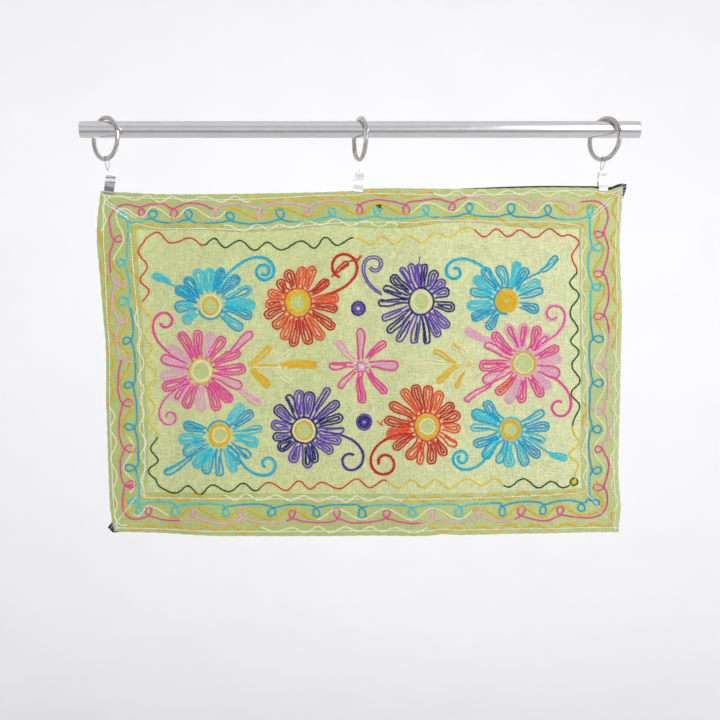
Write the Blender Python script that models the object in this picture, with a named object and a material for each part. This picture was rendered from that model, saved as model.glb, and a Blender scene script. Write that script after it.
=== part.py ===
"""An embroidered tapestry that hangs by three clip rings from a steel curtain rod.

Metres, +Z up, +X to the viewer's right, -Y towards the viewer. The origin is the middle of the rod's axis.
"""

from collections import namedtuple
from math import asin, atan2, ceil, cos, exp, hypot, pi, radians, sin

import bmesh
import bpy
from mathutils import Matrix, Vector

MM = 0.001
GAP = 0.3 * MM

# Rod and rings
ROD_LENGTH = 660 * MM
ROD_RADIUS = 10 * MM
ROD_SIDES = 48
ROD_EDGE = 0.6 * MM
RING_RADIUS = 24.25 * MM
RING_BAR = 2.75 * MM
RING_STEPS = 36
RING_SIDES = 10

# Wire links and the clips' eyes
WIRE = 0.6 * MM
LINK_LENGTH = 11.25 * MM
LINK_SIDES = 6
EYE_RADIUS = 1.9 * MM
EYE_STEPS = 16

# Clips, in a clip's own frame: z up from the jaw's lip, y from the seam between the cloths
CLIP_PLATE = 0.8 * MM
CLIP_HINGE_Y = -0.6 * MM
CLIP_HINGE_Z = 13 * MM
CLIP_HANDLE_Z = 22.4 * MM
EAR_PLATE = 0.7 * MM
EAR_HEIGHT = 4.2 * MM
FRONT_EAR_X = 5.25 * MM
BACK_EAR_X = 4.25 * MM
PIN_RADIUS = 0.7 * MM
PIN_HEAD_RADIUS = 1.25 * MM
PIN_HEAD_LENGTH = 0.6 * MM
NECK_WIDTH = 2.4 * MM
SLOT_WIDTH = 4 * MM
SLOT_HEIGHT = 0.9 * MM
SLOT_HEIGHTS = (15 * MM, 18.3 * MM)

# Cloths: the front cloth and the backing lie on either side of one folded surface
FRONT_CLOTH = 1.2 * MM
BACK_CLOTH = 1.0 * MM
CLOTH_PARTING = 0.4 * MM
GRID_PITCH = 22 * MM
GRID_ROWS = (-420 * MM, -324 * MM, -190 * MM, -128 * MM)
LINE_CLEAR = 3 * MM
CORNER_CLEAR = 2.5 * MM
SEAM_CLEAR = 6 * MM
EDGE_CLEAR = 8 * MM
MITRE_PARTING = 0.44 * MM
BORDER_FRACTIONS = (0, 0.3, 0.65, 1)
LEFT_EDGE_X = -305 * MM
RIGHT_EDGE_X = 307 * MM
TOP_EDGE_Z = -73 * MM
BOTTOM_EDGE_Z = -477 * MM
EDGE_REACH = 90 * MM
CLIP_HALF = 6 * MM
CLIP_SPREAD = 14 * MM
CLIP_FALL = 22 * MM
CREASE_FADE = 24

Edge = namedtuple("Edge", "along offset")
Hanger = namedtuple("Hanger", "name ring_x ring_yaw ring_lean link_swing jaw_x jaw_z clip_lean twist")
Wave = namedtuple("Wave", "top bottom length crest drift")
Crease = namedtuple("Crease", "x half depth top bottom")
Station = namedtuple("Station", "z y width")

# Sizes in millimetres and angles in degrees. twist is the slope that a turned clip gives the cloth.
HANGERS = (
    Hanger("left", -300.4, 46, 3.6, 10, -296.9, -75.7, 8, 0.30),
    Hanger("middle", 0.0, 17, 0, -3, -2.4, -73.8, 4.7, 0.0),
    Hanger("right", 288.5, 34, -3, -14, 286.2, -72.8, -3, 0.30),
)

# The cloth's slow waves: their size at the top and bottom edges, and where a crest comes forward.
WAVES = (
    Wave(1.0, 2.8, 236, -170, 14),
    Wave(0.7, 1.5, 128, 96, -16),
    Wave(0.3, 0.9, 83, 222, 9),
)

# Creases pressed in while the cloth was folded. They run away from the viewer.
CREASES = (
    Crease(-2.4, 14, 1.3, -82, -510),
    Crease(-144, 12, 0.6, -82, -460),
    Crease(-234, 16, 1.1, -100, -200),
)

# Outline of the front cloth, in millimetres: where along the edge, and the edge's place across it.
TOP_EDGE = tuple(Edge(*row) for row in (
    (-305.4, -72.5), (-286.7, -73.6), (-243, -75.9), (-177, -76.5), (-90, -74.8), (-7, -72.3),
    (10, -69.4), (119, -70.1), (206, -68.4), (271, -68.9), (294, -71.3), (305.6, -67.6), (310, -68.3),
))
BOTTOM_EDGE = tuple(Edge(*row) for row in (
    (-290.3, -474.2), (-128.6, -479.2), (80, -478.5), (97, -476.6), (119, -478.1), (304, -474.3),
))
LEFT_EDGE = tuple(Edge(*row) for row in (
    (-474.2, -290.3), (-449, -294.6), (-414, -296.4), (-343, -298.7), (-319, -299.6), (-278, -299.4),
    (-254, -300.1), (-201, -304.6), (-151.5, -308.8), (-134.6, -310.3), (-108.7, -310), (-91, -308),
    (-72.5, -305.4),
))
RIGHT_EDGE = tuple(Edge(*row) for row in (
    (-474.3, 304), (-461, 305.1), (-443, 306.8), (-428, 305.6), (-402, 304), (-343, 305.4),
    (-254, 307.4), (-213, 308.5), (-154, 306.4), (-130, 306), (-101, 307.9), (-68.3, 310.1),
))

# Seam between the field and the borders, in the same way.
TOP_SEAM = tuple(Edge(*row) for row in (
    (-264, -117.6), (-177, -118.6), (-147, -120.8), (-84, -118.1), (-38, -112.8), (16, -115.9),
    (61, -115.3), (88, -110.9), (133, -109.4), (179, -114.2), (218, -116.7), (258.2, -117.2),
))
BOTTOM_SEAM = tuple(Edge(*row) for row in (
    (-253.2, -428.6), (-156, -428.9), (-12, -430.5), (163, -428.3), (262, -423),
))
LEFT_SEAM = tuple(Edge(*row) for row in (
    (-428.6, -253.2), (-413.5, -251.5), (-366, -250.9), (-295, -253.6), (-254, -255.8), (-189, -260.8),
    (-117.6, -264),
))
RIGHT_SEAM = tuple(Edge(*row) for row in (
    (-423, 262), (-378, 260.3), (-313, 261.4), (-260, 259.6), (-189, 259.6), (-117.2, 258.2),
))

# How far the backing reaches past the front cloth's edges, in millimetres. Below zero it is hidden.
BACKING_TOP = tuple(Edge(*row) for row in (
    (-305, -1), (90, -0.8), (125, 0.8), (170, 2), (270, 2.2), (300, 4), (310, 4),
))
BACKING_BOTTOM = tuple(Edge(*row) for row in ((-300, 1.4), (-289, 1.4), (-270, -1), (304, -1)))
BACKING_LEFT = tuple(Edge(*row) for row in (
    (-476, 1), (-470.4, 7.2), (-464, 1.5), (-456, -1), (-72, -1),
))
BACKING_RIGHT = tuple(Edge(*row) for row in ((-474, -1), (-86, -1), (-76, 2.6), (-68, 4.4)))
BACKING_ROWS = (-64.5 * MM, -71.5 * MM, -80 * MM, -92 * MM, -110 * MM, -456 * MM, -464 * MM, -470.4 * MM)


def clear_scene():
    for thing in list(bpy.data.objects):
        bpy.data.objects.remove(thing, do_unlink=True)


def principled(name, color, roughness, metallic):
    material = bpy.data.materials.new(name)
    material.use_nodes = True
    shader = material.node_tree.nodes["Principled BSDF"]
    shader.inputs["Base Color"].default_value = (*color, 1)
    shader.inputs["Roughness"].default_value = roughness
    shader.inputs["Metallic"].default_value = metallic
    material.diffuse_color = (*color, 1)
    return material


def object_from(name, mesh_builder, material=None, parent=None, smooth_angle=40):
    """An object from a bmesh, shaded smooth up to an angle in degrees, or flat where that is zero."""
    bmesh.ops.recalc_face_normals(mesh_builder, faces=mesh_builder.faces)
    mesh = bpy.data.meshes.new(name)
    mesh_builder.to_mesh(mesh)
    mesh_builder.free()
    if smooth_angle:
        mesh.shade_smooth()
        mesh.set_sharp_from_angle(angle=radians(smooth_angle))
    if material:
        mesh.materials.append(material)
    thing = bpy.data.objects.new(name, mesh)
    bpy.context.collection.objects.link(thing)
    thing.parent = parent
    return thing


def combine(target, tool, operation):
    """A Boolean of a guide object with the target."""
    tool.hide_render = True
    tool.display_type = "WIRE"
    modifier = target.modifiers.new(f"{operation}_{tool.name}".lower(), "BOOLEAN")
    modifier.operation = operation
    modifier.object = tool
    modifier.solver = "EXACT"


def on_curve(table, at):
    """The smooth curve through a table's rows, level past both ends. All in metres but the table."""
    rows = sorted(table)
    place = at / MM
    if place <= rows[0].along:
        return rows[0].offset * MM
    if place >= rows[-1].along:
        return rows[-1].offset * MM
    last = len(rows) - 1
    i = next(k for k in range(last) if rows[k + 1].along >= place)

    def slope(k):
        before, after = rows[max(k - 1, 0)], rows[min(k + 1, last)]
        return (after.offset - before.offset) / (after.along - before.along)

    start, end = rows[i], rows[i + 1]
    span = end.along - start.along
    t = (place - start.along) / span
    bend = (2 * t**3 - 3 * t**2 + 1) * start.offset + (3 * t**2 - 2 * t**3) * end.offset
    lean = (t**3 - 2 * t**2 + t) * slope(i) + (t**3 - t**2) * slope(i + 1)
    return (bend + lean * span) * MM


def fold(x, z):
    """How far the cloth's middle surface lies behind the rod's axis at a place on it."""
    down = (TOP_EDGE_Z - z) / (TOP_EDGE_Z - BOTTOM_EDGE_Z)
    y = 0.0
    for wave in WAVES:
        size = wave.top + (wave.bottom - wave.top) * down
        crest = (wave.crest + wave.drift * down) * MM
        y -= size * MM * cos(2 * pi * (x - crest) / (wave.length * MM))
    for crease in CREASES:
        depth = crease.depth * max(0.0, 1 - abs(x / MM - crease.x) / crease.half)
        inside = min(crease.top - z / MM, z / MM - crease.bottom) / CREASE_FADE
        y += depth * MM * max(0.0, min(1.0, inside))
    for hanger in HANGERS:
        away = x - hanger.jaw_x * MM
        fall = max(0.0, hanger.jaw_z * MM - z) / CLIP_FALL
        y += hanger.twist * away * exp(-(away / CLIP_SPREAD) ** 2 - fall)
    return y


def filled(stops, pitch):
    """The stops, with even steps no longer than the pitch between them."""
    places = [stops[0]]
    for start, end in zip(stops, stops[1:]):
        count = max(1, ceil((end - start) / pitch))
        places += [start + (end - start) * k / count for k in range(1, count + 1)]
    return places


def columns():
    """Where the cloths' upright grid lines stand on the top edge, from the clips and the creases."""
    stops = []
    for hanger in HANGERS:
        stops += [hanger.jaw_x * MM + side * CLIP_HALF for side in (-1, 0, 1)]
    for crease in CREASES:
        stops += [(crease.x + side * crease.half) * MM for side in (-1, 0, 1)]
    kept = []
    for stop in sorted(stops):
        if not kept or stop - kept[-1] > LINE_CLEAR:
            kept.append(stop)
    return filled(kept, GRID_PITCH)


def column_x(nominal, z):
    """A grid line's place at a height: near the sides it follows the cloth's edge."""
    x = nominal
    left_share = max(0.0, 1 - (nominal - LEFT_EDGE_X) / EDGE_REACH)
    right_share = max(0.0, 1 - (RIGHT_EDGE_X - nominal) / EDGE_REACH)
    x += min(1.0, left_share) * (on_curve(LEFT_EDGE, z) - on_curve(LEFT_EDGE, TOP_EDGE_Z))
    x += min(1.0, right_share) * (on_curve(RIGHT_EDGE, z) - on_curve(RIGHT_EDGE, TOP_EDGE_Z))
    return x


def between(start, end, fraction):
    return start + (end - start) * fraction


def line_at(first, second, place, axis):
    """Where a straight line through two points stands, across the axis, at a place along it."""
    other = 1 - axis
    fraction = (place - first[axis]) / (second[axis] - first[axis])
    return between(first[other], second[other], fraction)


def cloth_solid(name, grid, near_y, far_y, material):
    """A cloth from a grid of (x, z) points, between two offsets from the folded surface."""
    builder = bmesh.new()
    faces = []
    for offset in (near_y, far_y):
        faces.append([[builder.verts.new((x, fold(x, z) + offset, z)) for x, z in row] for row in grid])
    near, far = faces
    high, wide = len(grid), len(grid[0])
    for side in faces:
        for j in range(high - 1):
            for i in range(wide - 1):
                builder.faces.new((side[j][i], side[j][i + 1], side[j + 1][i + 1], side[j + 1][i]))
    rim = [(0, i) for i in range(wide - 1)] + [(j, wide - 1) for j in range(high - 1)]
    rim += [(high - 1, i) for i in range(wide - 1, 0, -1)] + [(j, 0) for j in range(high - 1, 0, -1)]
    for (j, i), (next_j, next_i) in zip(rim, rim[1:] + rim[:1]):
        builder.faces.new((near[j][i], near[next_j][next_i], far[next_j][next_i], far[j][i]))
    bmesh.ops.remove_doubles(builder, verts=builder.verts, dist=0.02 * MM)
    return object_from(name, builder, material)


def field_grid(lines):
    """The field's grid, inside the seam on all four sides."""
    inset = GAP / 2
    corners = (TOP_SEAM[0], TOP_SEAM[-1])
    left_x, right_x = (corner.along * MM for corner in corners)
    inner = [line for line in lines if left_x + SEAM_CLEAR < line < right_x - SEAM_CLEAR]
    heights = filled(GRID_ROWS, GRID_PITCH)[::-1]
    top_row = [(left_x + inset, TOP_SEAM[0].offset * MM - inset)]
    top_row += [(x, on_curve(TOP_SEAM, x) - inset) for x in inner]
    top_row += [(right_x - inset, TOP_SEAM[-1].offset * MM - inset)]
    grid = [top_row]
    for z in heights:
        row = [(on_curve(LEFT_SEAM, z) + inset, z)]
        row += [(column_x(line, z), z) for line in inner]
        row += [(on_curve(RIGHT_SEAM, z) - inset, z)]
        grid.append(row)
    bottom_row = [(BOTTOM_SEAM[0].along * MM + inset, BOTTOM_SEAM[0].offset * MM + inset)]
    for line in inner:
        x = column_x(line, BOTTOM_SEAM[1].offset * MM)
        bottom_row.append((x, on_curve(BOTTOM_SEAM, x) + inset))
    bottom_row += [(BOTTOM_SEAM[-1].along * MM - inset, BOTTOM_SEAM[-1].offset * MM + inset)]
    return grid + [bottom_row]


def with_corners(places, corners, low, high):
    """Places between two ends, with the ends and corners put in and none crowding them."""
    fixed = [low, *corners, high]
    free = [place for place in places if low < place < high]
    kept = [place for place in free if min(abs(place - stop) for stop in fixed) > CORNER_CLEAR]
    return sorted(kept + fixed)


def strip_grid(edge, seam, axis, places):
    """A mitred border strip's grid. axis is 0 where it runs along x and 1 where it runs along z."""
    part = MITRE_PARTING / 2
    outward = 1 if edge[0].offset > seam[0].offset else -1

    def corner(row, step):
        """A corner of the strip, moved in from the mitre along the strip and given as (x, z)."""
        spot = (row.along * MM + step, row.offset * MM)
        return spot if axis == 0 else spot[::-1]

    rows, seams = sorted(edge), sorted(seam)
    ends = []
    for row, inner, step in ((rows[0], seams[0], part), (rows[-1], seams[-1], -part)):
        ends.append((corner(row, step), corner(inner, step)))
    low, high = ends[0][0][axis], ends[1][0][axis]
    inner_low, inner_high = ends[0][1][axis], ends[1][1][axis]
    lines = []
    for place in with_corners(places, (inner_low, inner_high), low, high):
        outer = on_curve(edge, place)
        if place < inner_low:
            inner = line_at(*ends[0], place, axis)
        elif place > inner_high:
            inner = line_at(*ends[1], place, axis)
        else:
            inner = on_curve(seam, place) + outward * GAP / 2
        inner = min(inner, outer) if outward > 0 else max(inner, outer)
        spots = [(place, between(outer, inner, fraction)) for fraction in BORDER_FRACTIONS]
        lines.append(spots if axis == 0 else [spot[::-1] for spot in spots])
    return lines


def backing_grid(lines):
    """The backing's grid: the front cloth's outline, with its own reach past each edge."""
    heights = sorted(BACKING_ROWS + GRID_ROWS, reverse=True)
    heights = [-place for place in filled([-height for height in heights], GRID_PITCH)]
    inner = [line for line in lines if LEFT_EDGE_X + EDGE_CLEAR < line < RIGHT_EDGE_X - EDGE_CLEAR]

    def ends(z):
        left = on_curve(LEFT_EDGE, z) - on_curve(BACKING_LEFT, z)
        return left, on_curve(RIGHT_EDGE, z) + on_curve(BACKING_RIGHT, z)

    grid = []
    for k, z in enumerate(heights):
        left, right = ends(z)
        spots = [left] + [column_x(line, z) for line in inner] + [right]
        if k == 0:
            grid.append([(x, on_curve(TOP_EDGE, x) + on_curve(BACKING_TOP, x)) for x in spots])
        else:
            grid.append([(x, min(z, grid[0][i][1] - 2 * k * MM)) for i, x in enumerate(spots)])
    low = BOTTOM_EDGE_Z
    left, right = ends(low)
    spots = [left] + [column_x(line, low) for line in inner] + [right]
    grid.append([(x, on_curve(BOTTOM_EDGE, x) - on_curve(BACKING_BOTTOM, x)) for x in spots])
    return grid


def round_bar(builder, path, origin, axis_p, axis_q, radius, sides):
    """A round bar bent along a closed flat path of (p, q) points in the plane of two axes."""
    normal = axis_p.cross(axis_q)
    count = len(path)
    rings = []
    for i, (p, q) in enumerate(path):
        (before_p, before_q), (after_p, after_q) = path[i - 1], path[(i + 1) % count]
        along = Vector((after_p - before_p, after_q - before_q)).normalized()
        outward = axis_p * along.y - axis_q * along.x
        centre = origin + axis_p * p + axis_q * q
        ring = []
        for k in range(sides):
            turn = 2 * pi * k / sides
            ring.append(builder.verts.new(centre + (outward * cos(turn) + normal * sin(turn)) * radius))
        rings.append(ring)
    for i, ring in enumerate(rings):
        following = rings[(i + 1) % count]
        for k in range(sides):
            after = (k + 1) % sides
            builder.faces.new((ring[k], following[k], following[after], ring[after]))


def circle(radius, steps):
    return [(radius * cos(2 * pi * k / steps), radius * sin(2 * pi * k / steps)) for k in range(steps)]


def belt(top_radius, bottom_radius, length, steps=9):
    """A closed path round two circles, one below the other, joined by straight legs."""
    lean = asin((top_radius - bottom_radius) / length)
    path = []
    for radius, q, start, end in (
        (top_radius, 0, -lean, pi + lean),
        (bottom_radius, -length, pi + lean, 2 * pi - lean),
    ):
        for k in range(steps):
            turn = start + (end - start) * k / (steps - 1)
            path.append((radius * cos(turn), q + radius * sin(turn)))
    return path


def box(builder, low, high):
    size = Vector(high) - Vector(low)
    middle = (Vector(high) + Vector(low)) / 2
    placed = Matrix.Translation(middle) @ Matrix.Diagonal((*size, 1))
    bmesh.ops.create_cube(builder, size=1, matrix=placed)


def cross_bar(builder, radius, from_x, to_x, y, z, sides=12):
    """A round bar along x."""
    placed = Matrix.Translation(((from_x + to_x) / 2, y, z)) @ Matrix.Rotation(pi / 2, 4, "Y")
    bmesh.ops.create_cone(
        builder, cap_ends=True, segments=sides, radius1=radius, radius2=radius, depth=to_x - from_x, matrix=placed
    )


def bent_plate(builder, stations, thickness):
    """A plate bent along its side profile. Its thickness goes to +y where positive, else to -y."""
    rows = []
    for i, station in enumerate(stations):
        before, after = stations[max(i - 1, 0)], stations[min(i + 1, len(stations) - 1)]
        across = Vector((0, after.z - before.z, before.y - after.y)).normalized() * thickness
        inner = Vector((0, station.y, station.z))
        half = station.width / 2
        row = [inner + Vector((side * half, 0, 0)) for side in (-1, 1)]
        row += [inner + across + Vector((side * half, 0, 0)) for side in (1, -1)]
        rows.append([builder.verts.new(place) for place in row])
    for row, following in zip(rows, rows[1:]):
        for k in range(4):
            after = (k + 1) % 4
            builder.faces.new((row[k], row[after], following[after], following[k]))
    builder.faces.new(rows[0])
    builder.faces.new(rows[-1])


def ring_turn(hanger):
    """How a ring stands on the rod: turned about the upright, then leaned sideways."""
    yaw, lean = radians(hanger.ring_yaw), radians(hanger.ring_lean)
    return Matrix.Rotation(-lean, 3, "Y") @ Matrix.Rotation(yaw, 3, "Z")


def ring_drop(turned):
    """How far a ring's centre lies below the rod's axis when its bar rests on the rod."""
    reach = ROD_RADIUS + RING_BAR + GAP
    spots = [turned @ Vector((0, y, z)) for y, z in circle(RING_RADIUS, 240)]
    low, high = 0.0, RING_RADIUS
    while high - low > 0.001 * MM:
        drop = (low + high) / 2
        nearest = min(hypot(spot.y, spot.z - drop) for spot in spots)
        if nearest > reach:
            low = drop
        else:
            high = drop
    return low


def make_rod(steel):
    builder = bmesh.new()
    cross_bar(builder, ROD_RADIUS, -ROD_LENGTH / 2, ROD_LENGTH / 2, 0, 0, sides=ROD_SIDES)
    rod = object_from("rod", builder, steel)
    edge = rod.modifiers.new("edge", "BEVEL")
    edge.width = ROD_EDGE
    edge.segments = 2
    edge.limit_method = "ANGLE"
    edge.angle_limit = radians(60)


def make_ring(hanger, steel):
    """A ring on the rod. Returns the middle of its bar at the bottom, where the link hangs."""
    builder = bmesh.new()
    across, up = Vector((0, 1, 0)), Vector((0, 0, 1))
    round_bar(builder, circle(RING_RADIUS, RING_STEPS), Vector(), across, up, RING_BAR, RING_SIDES)
    ring = object_from(f"ring_{hanger.name}", builder, steel)
    turned = ring_turn(hanger)
    ring.location = (hanger.ring_x * MM, 0, -ring_drop(turned))
    ring.rotation_euler = turned.to_euler()
    return ring.location + turned @ Vector((0, 0, -RING_RADIUS))


def make_link(hanger, hung_from, steel):
    """The wire loop round a ring's bar. Returns where the clip's eye hangs in it."""
    yaw, swing = radians(hanger.ring_yaw), radians(hanger.link_swing)
    facing, up = Vector((cos(yaw), sin(yaw), 0)), Vector((0, 0, 1))
    axis_p = facing * cos(swing) + up * sin(swing)
    axis_q = up * cos(swing) - facing * sin(swing)
    builder = bmesh.new()
    path = belt(RING_BAR + GAP + WIRE, 2 * WIRE + GAP, LINK_LENGTH)
    round_bar(builder, path, hung_from, axis_p, axis_q, WIRE, LINK_SIDES)
    object_from(f"link_{hanger.name}", builder, steel, smooth_angle=80)
    return hung_from - axis_q * LINK_LENGTH


def clip_place(hanger):
    """An empty at a clip's jaw, turned with the cloth that the jaw holds."""
    x, z = hanger.jaw_x * MM, hanger.jaw_z * MM
    near, far = fold(x - CLIP_HALF, z), fold(x + CLIP_HALF, z)
    place = bpy.data.objects.new(f"place_{hanger.name}", None)
    bpy.context.collection.objects.link(place)
    place.location = (x, (near + far) / 2, z)
    yaw, lean = atan2(far - near, 2 * CLIP_HALF), radians(hanger.clip_lean)
    turned = Matrix.Rotation(yaw, 3, "Z") @ Matrix.Rotation(lean, 3, "Y")
    place.rotation_euler = turned.to_euler()
    return place, Matrix.Translation(place.location) @ turned.to_4x4()


def make_clip(hanger, eye_top, steel):
    """A sprung clip: a carrier plate with the eye behind, a pressing plate in front and a pin."""
    name = hanger.name
    place, frame = clip_place(hanger)
    front_y = -(CLOTH_PARTING / 2 + FRONT_CLOTH + GAP)
    back_y = CLOTH_PARTING / 2 + BACK_CLOTH + GAP
    inverse = frame.inverted()
    eye = inverse @ (eye_top - Vector((0, 0, EYE_RADIUS)))
    yaw = radians(hanger.ring_yaw)
    eye_across = inverse.to_3x3() @ Vector((-sin(yaw), cos(yaw), 0))
    eye_up = inverse.to_3x3() @ Vector((0, 0, 1))

    def guide(part, shape, *sizes):
        builder = bmesh.new()
        shape(builder, *sizes)
        angle = 40 if shape in (round_bar, cross_bar) else 0
        return object_from(f"{part}_{name}", builder, parent=place, smooth_angle=angle)

    def ears(builder, x, low_y, high_y):
        half = EAR_HEIGHT / 2
        for side in (-1, 1):
            middle = side * x
            low = (middle - EAR_PLATE / 2, low_y, CLIP_HINGE_Z - half)
            box(builder, low, (middle + EAR_PLATE / 2, high_y, CLIP_HINGE_Z + half))

    def slots(builder):
        for height in SLOT_HEIGHTS:
            low = (-SLOT_WIDTH / 2, -8 * MM, height - SLOT_HEIGHT / 2)
            box(builder, low, (SLOT_WIDTH / 2, -3.6 * MM, height + SLOT_HEIGHT / 2))

    def plate(part, stations, thickness):
        builder = bmesh.new()
        bent_plate(builder, [Station(*(size * MM for size in row)) for row in stations], thickness)
        return object_from(f"clip_{name}_{part}", builder, steel, parent=place, smooth_angle=0)

    hole_sizes = (PIN_RADIUS + GAP, -8 * MM, 8 * MM, CLIP_HINGE_Y, CLIP_HINGE_Z)
    hole = guide("pin_hole", cross_bar, *hole_sizes)

    front_profile = (
        (0, front_y / MM - 0.4, 10.8), (1, front_y / MM, 11), (3, front_y / MM, 11.2), (8, -3.3, 11.6),
        (13, -3.8, 11.8), (17, -4.6, 11.4), (21.4, -6, 10.8), (22.8, -6.2, 9.6),
    )
    front = plate("front", front_profile, -CLIP_PLATE)
    combine(front, guide("front_ears", ears, FRONT_EAR_X, -4.3 * MM, 1 * MM), "UNION")
    combine(front, hole, "DIFFERENCE")
    combine(front, guide("slots", slots), "DIFFERENCE")

    eye_y = eye.y / MM - CLIP_PLATE / MM / 2
    back_profile = (
        (0, back_y / MM + 0.4, 10.8), (1, back_y / MM, 11), (3, back_y / MM, 11), (8, 2.3, 11),
        (13, 2.6, 11), (18, between(2.6, eye_y, 0.35), 10.6), (CLIP_HANDLE_Z / MM, eye_y, 9.6),
    )
    back = plate("back", back_profile, CLIP_PLATE)
    combine(back, guide("back_ears", ears, BACK_EAR_X, -2.3 * MM, 3 * MM), "UNION")
    half = NECK_WIDTH / 2
    neck_low = (eye.x - half, eye.y - CLIP_PLATE / 2, CLIP_HANDLE_Z - 0.6 * MM)
    neck_high = (eye.x + half, eye.y + CLIP_PLATE / 2, eye.z - EYE_RADIUS + 0.2 * MM)
    combine(back, guide("neck", box, neck_low, neck_high), "UNION")
    eye_sizes = (circle(EYE_RADIUS, EYE_STEPS), eye, eye_across, eye_up, WIRE, LINK_SIDES)
    combine(back, guide("eye", round_bar, *eye_sizes), "UNION")
    combine(back, hole, "DIFFERENCE")

    pin_half = FRONT_EAR_X + EAR_PLATE / 2 + GAP
    builder = bmesh.new()
    cross_bar(builder, PIN_RADIUS, -pin_half, pin_half, CLIP_HINGE_Y, CLIP_HINGE_Z)
    pin = object_from(f"clip_{name}_pin", builder, steel, parent=place)
    for side, label in ((-1, "left_head"), (1, "right_head")):
        ends = sorted((side * (pin_half - 0.01 * MM), side * (pin_half + PIN_HEAD_LENGTH)))
        head = guide(label, cross_bar, PIN_HEAD_RADIUS, *ends, CLIP_HINGE_Y, CLIP_HINGE_Z)
        combine(pin, head, "UNION")


def make_cloths(field_cloth, border_cloth, navy_cloth):
    lines = columns()
    near_y = -(CLOTH_PARTING / 2 + FRONT_CLOTH)
    far_y = -CLOTH_PARTING / 2
    cloth_solid("field_panel", field_grid(lines), near_y, far_y, field_cloth)
    heights = filled((BOTTOM_EDGE_Z, *GRID_ROWS, TOP_EDGE_Z), GRID_PITCH)
    for name, edge, seam, axis, places in (
        ("border_top", TOP_EDGE, TOP_SEAM, 0, lines),
        ("border_bottom", BOTTOM_EDGE, BOTTOM_SEAM, 0, lines),
        ("border_left", LEFT_EDGE, LEFT_SEAM, 1, heights),
        ("border_right", RIGHT_EDGE, RIGHT_SEAM, 1, heights),
    ):
        cloth_solid(name, strip_grid(edge, seam, axis, places), near_y, far_y, border_cloth)
    near_y = CLOTH_PARTING / 2
    cloth_solid("backing", backing_grid(lines), near_y, near_y + BACK_CLOTH, navy_cloth)


def main():
    clear_scene()
    rod_steel = principled("rod_steel", (0.62, 0.61, 0.59), 0.3, 1.0)
    ring_steel = principled("ring_steel", (0.66, 0.65, 0.63), 0.25, 1.0)
    clip_steel = principled("clip_steel", (0.78, 0.77, 0.75), 0.28, 1.0)
    field_cloth = principled("field_cloth", (0.59, 0.64, 0.34), 0.9, 0.0)
    border_cloth = principled("border_cloth", (0.47, 0.57, 0.21), 0.9, 0.0)
    navy_cloth = principled("navy_cloth", (0.02, 0.03, 0.08), 0.9, 0.0)
    make_rod(rod_steel)
    for hanger in HANGERS:
        hung_from = make_ring(hanger, ring_steel)
        eye_top = make_link(hanger, hung_from, ring_steel)
        make_clip(hanger, eye_top, clip_steel)
    make_cloths(field_cloth, border_cloth, navy_cloth)


main()
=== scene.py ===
"""Looks of the embroidered tapestry: its cloths, embroidery, topstitching, metal, light and camera.

Design sizes are in millimetres, in the frame's own directions: x to the viewer's right, z up, y away.
"""

from collections import namedtuple
from math import atan2, cos, pi, radians, sin

import bpy
import numpy as np
from mathutils import Matrix, Vector


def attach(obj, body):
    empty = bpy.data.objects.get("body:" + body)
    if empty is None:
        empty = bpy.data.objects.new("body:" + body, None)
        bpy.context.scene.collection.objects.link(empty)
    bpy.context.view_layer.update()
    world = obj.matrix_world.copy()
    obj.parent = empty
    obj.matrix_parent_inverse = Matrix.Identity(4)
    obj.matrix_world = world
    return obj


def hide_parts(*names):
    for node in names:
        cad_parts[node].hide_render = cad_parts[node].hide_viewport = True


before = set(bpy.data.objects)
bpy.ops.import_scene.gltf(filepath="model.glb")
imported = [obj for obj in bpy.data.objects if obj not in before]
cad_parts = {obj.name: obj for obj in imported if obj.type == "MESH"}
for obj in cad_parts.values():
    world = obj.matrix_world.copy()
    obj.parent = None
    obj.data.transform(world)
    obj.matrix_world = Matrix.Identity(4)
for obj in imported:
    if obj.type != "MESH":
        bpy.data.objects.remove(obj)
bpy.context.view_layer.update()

MM = 0.001


class Line:
    """A smooth curve through rows of (along, across), level past both ends."""

    def __init__(self, *rows):
        self.along, self.across = np.array(sorted(rows), float).T
        rise = np.diff(self.across, prepend=self.across[0], append=self.across[-1])
        run = np.diff(self.along, prepend=self.along[0], append=self.along[-1])
        self.slope = (rise[:-1] + rise[1:]) / (run[:-1] + run[1:])

    def __call__(self, place):
        place = np.clip(place, self.along[0], self.along[-1])
        i = np.clip(np.searchsorted(self.along, place) - 1, 0, len(self.along) - 2)
        span = self.along[i + 1] - self.along[i]
        t = (place - self.along[i]) / span
        bend = (2 * t**3 - 3 * t**2 + 1) * self.across[i] + (3 * t**2 - 2 * t**3) * self.across[i + 1]
        lean = (t**3 - 2 * t**2 + t) * self.slope[i] + (t**3 - t**2) * self.slope[i + 1]
        return bend + lean * span


def table(kind, rows):
    """Rows whose columns have the names that kind gives."""
    return tuple(kind(*row) for row in rows)


def taking_turns(first, second, starts):
    """Spans of a row of stitch that changes between two threads."""
    return tuple(zip(starts, (first, second) * len(starts)))


# Hanging shape of the cloth, as in the CAD
Hanger = namedtuple("Hanger", "name jaw_x jaw_z clip_lean twist")
Wave = namedtuple("Wave", "top bottom length crest drift")
Crease = namedtuple("Crease", "x half depth top bottom")

HANGERS = table(Hanger, (
    ("left", -296.9, -75.7, 8, 0.30), ("middle", -2.4, -73.8, 4.7, 0), ("right", 286.2, -72.8, -3, 0.30),
))
WAVES = table(Wave, (
    (1, 2.8, 236, -170, 14), (0.7, 1.5, 128, 96, -16), (0.3, 0.9, 83, 222, 9),
))
CREASES = table(Crease, (
    (-2.4, 14, 1.3, -82, -510), (-144, 12, 0.6, -82, -460), (-234, 16, 1.1, -100, -200),
))
CREASE_FADE = 24
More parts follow.
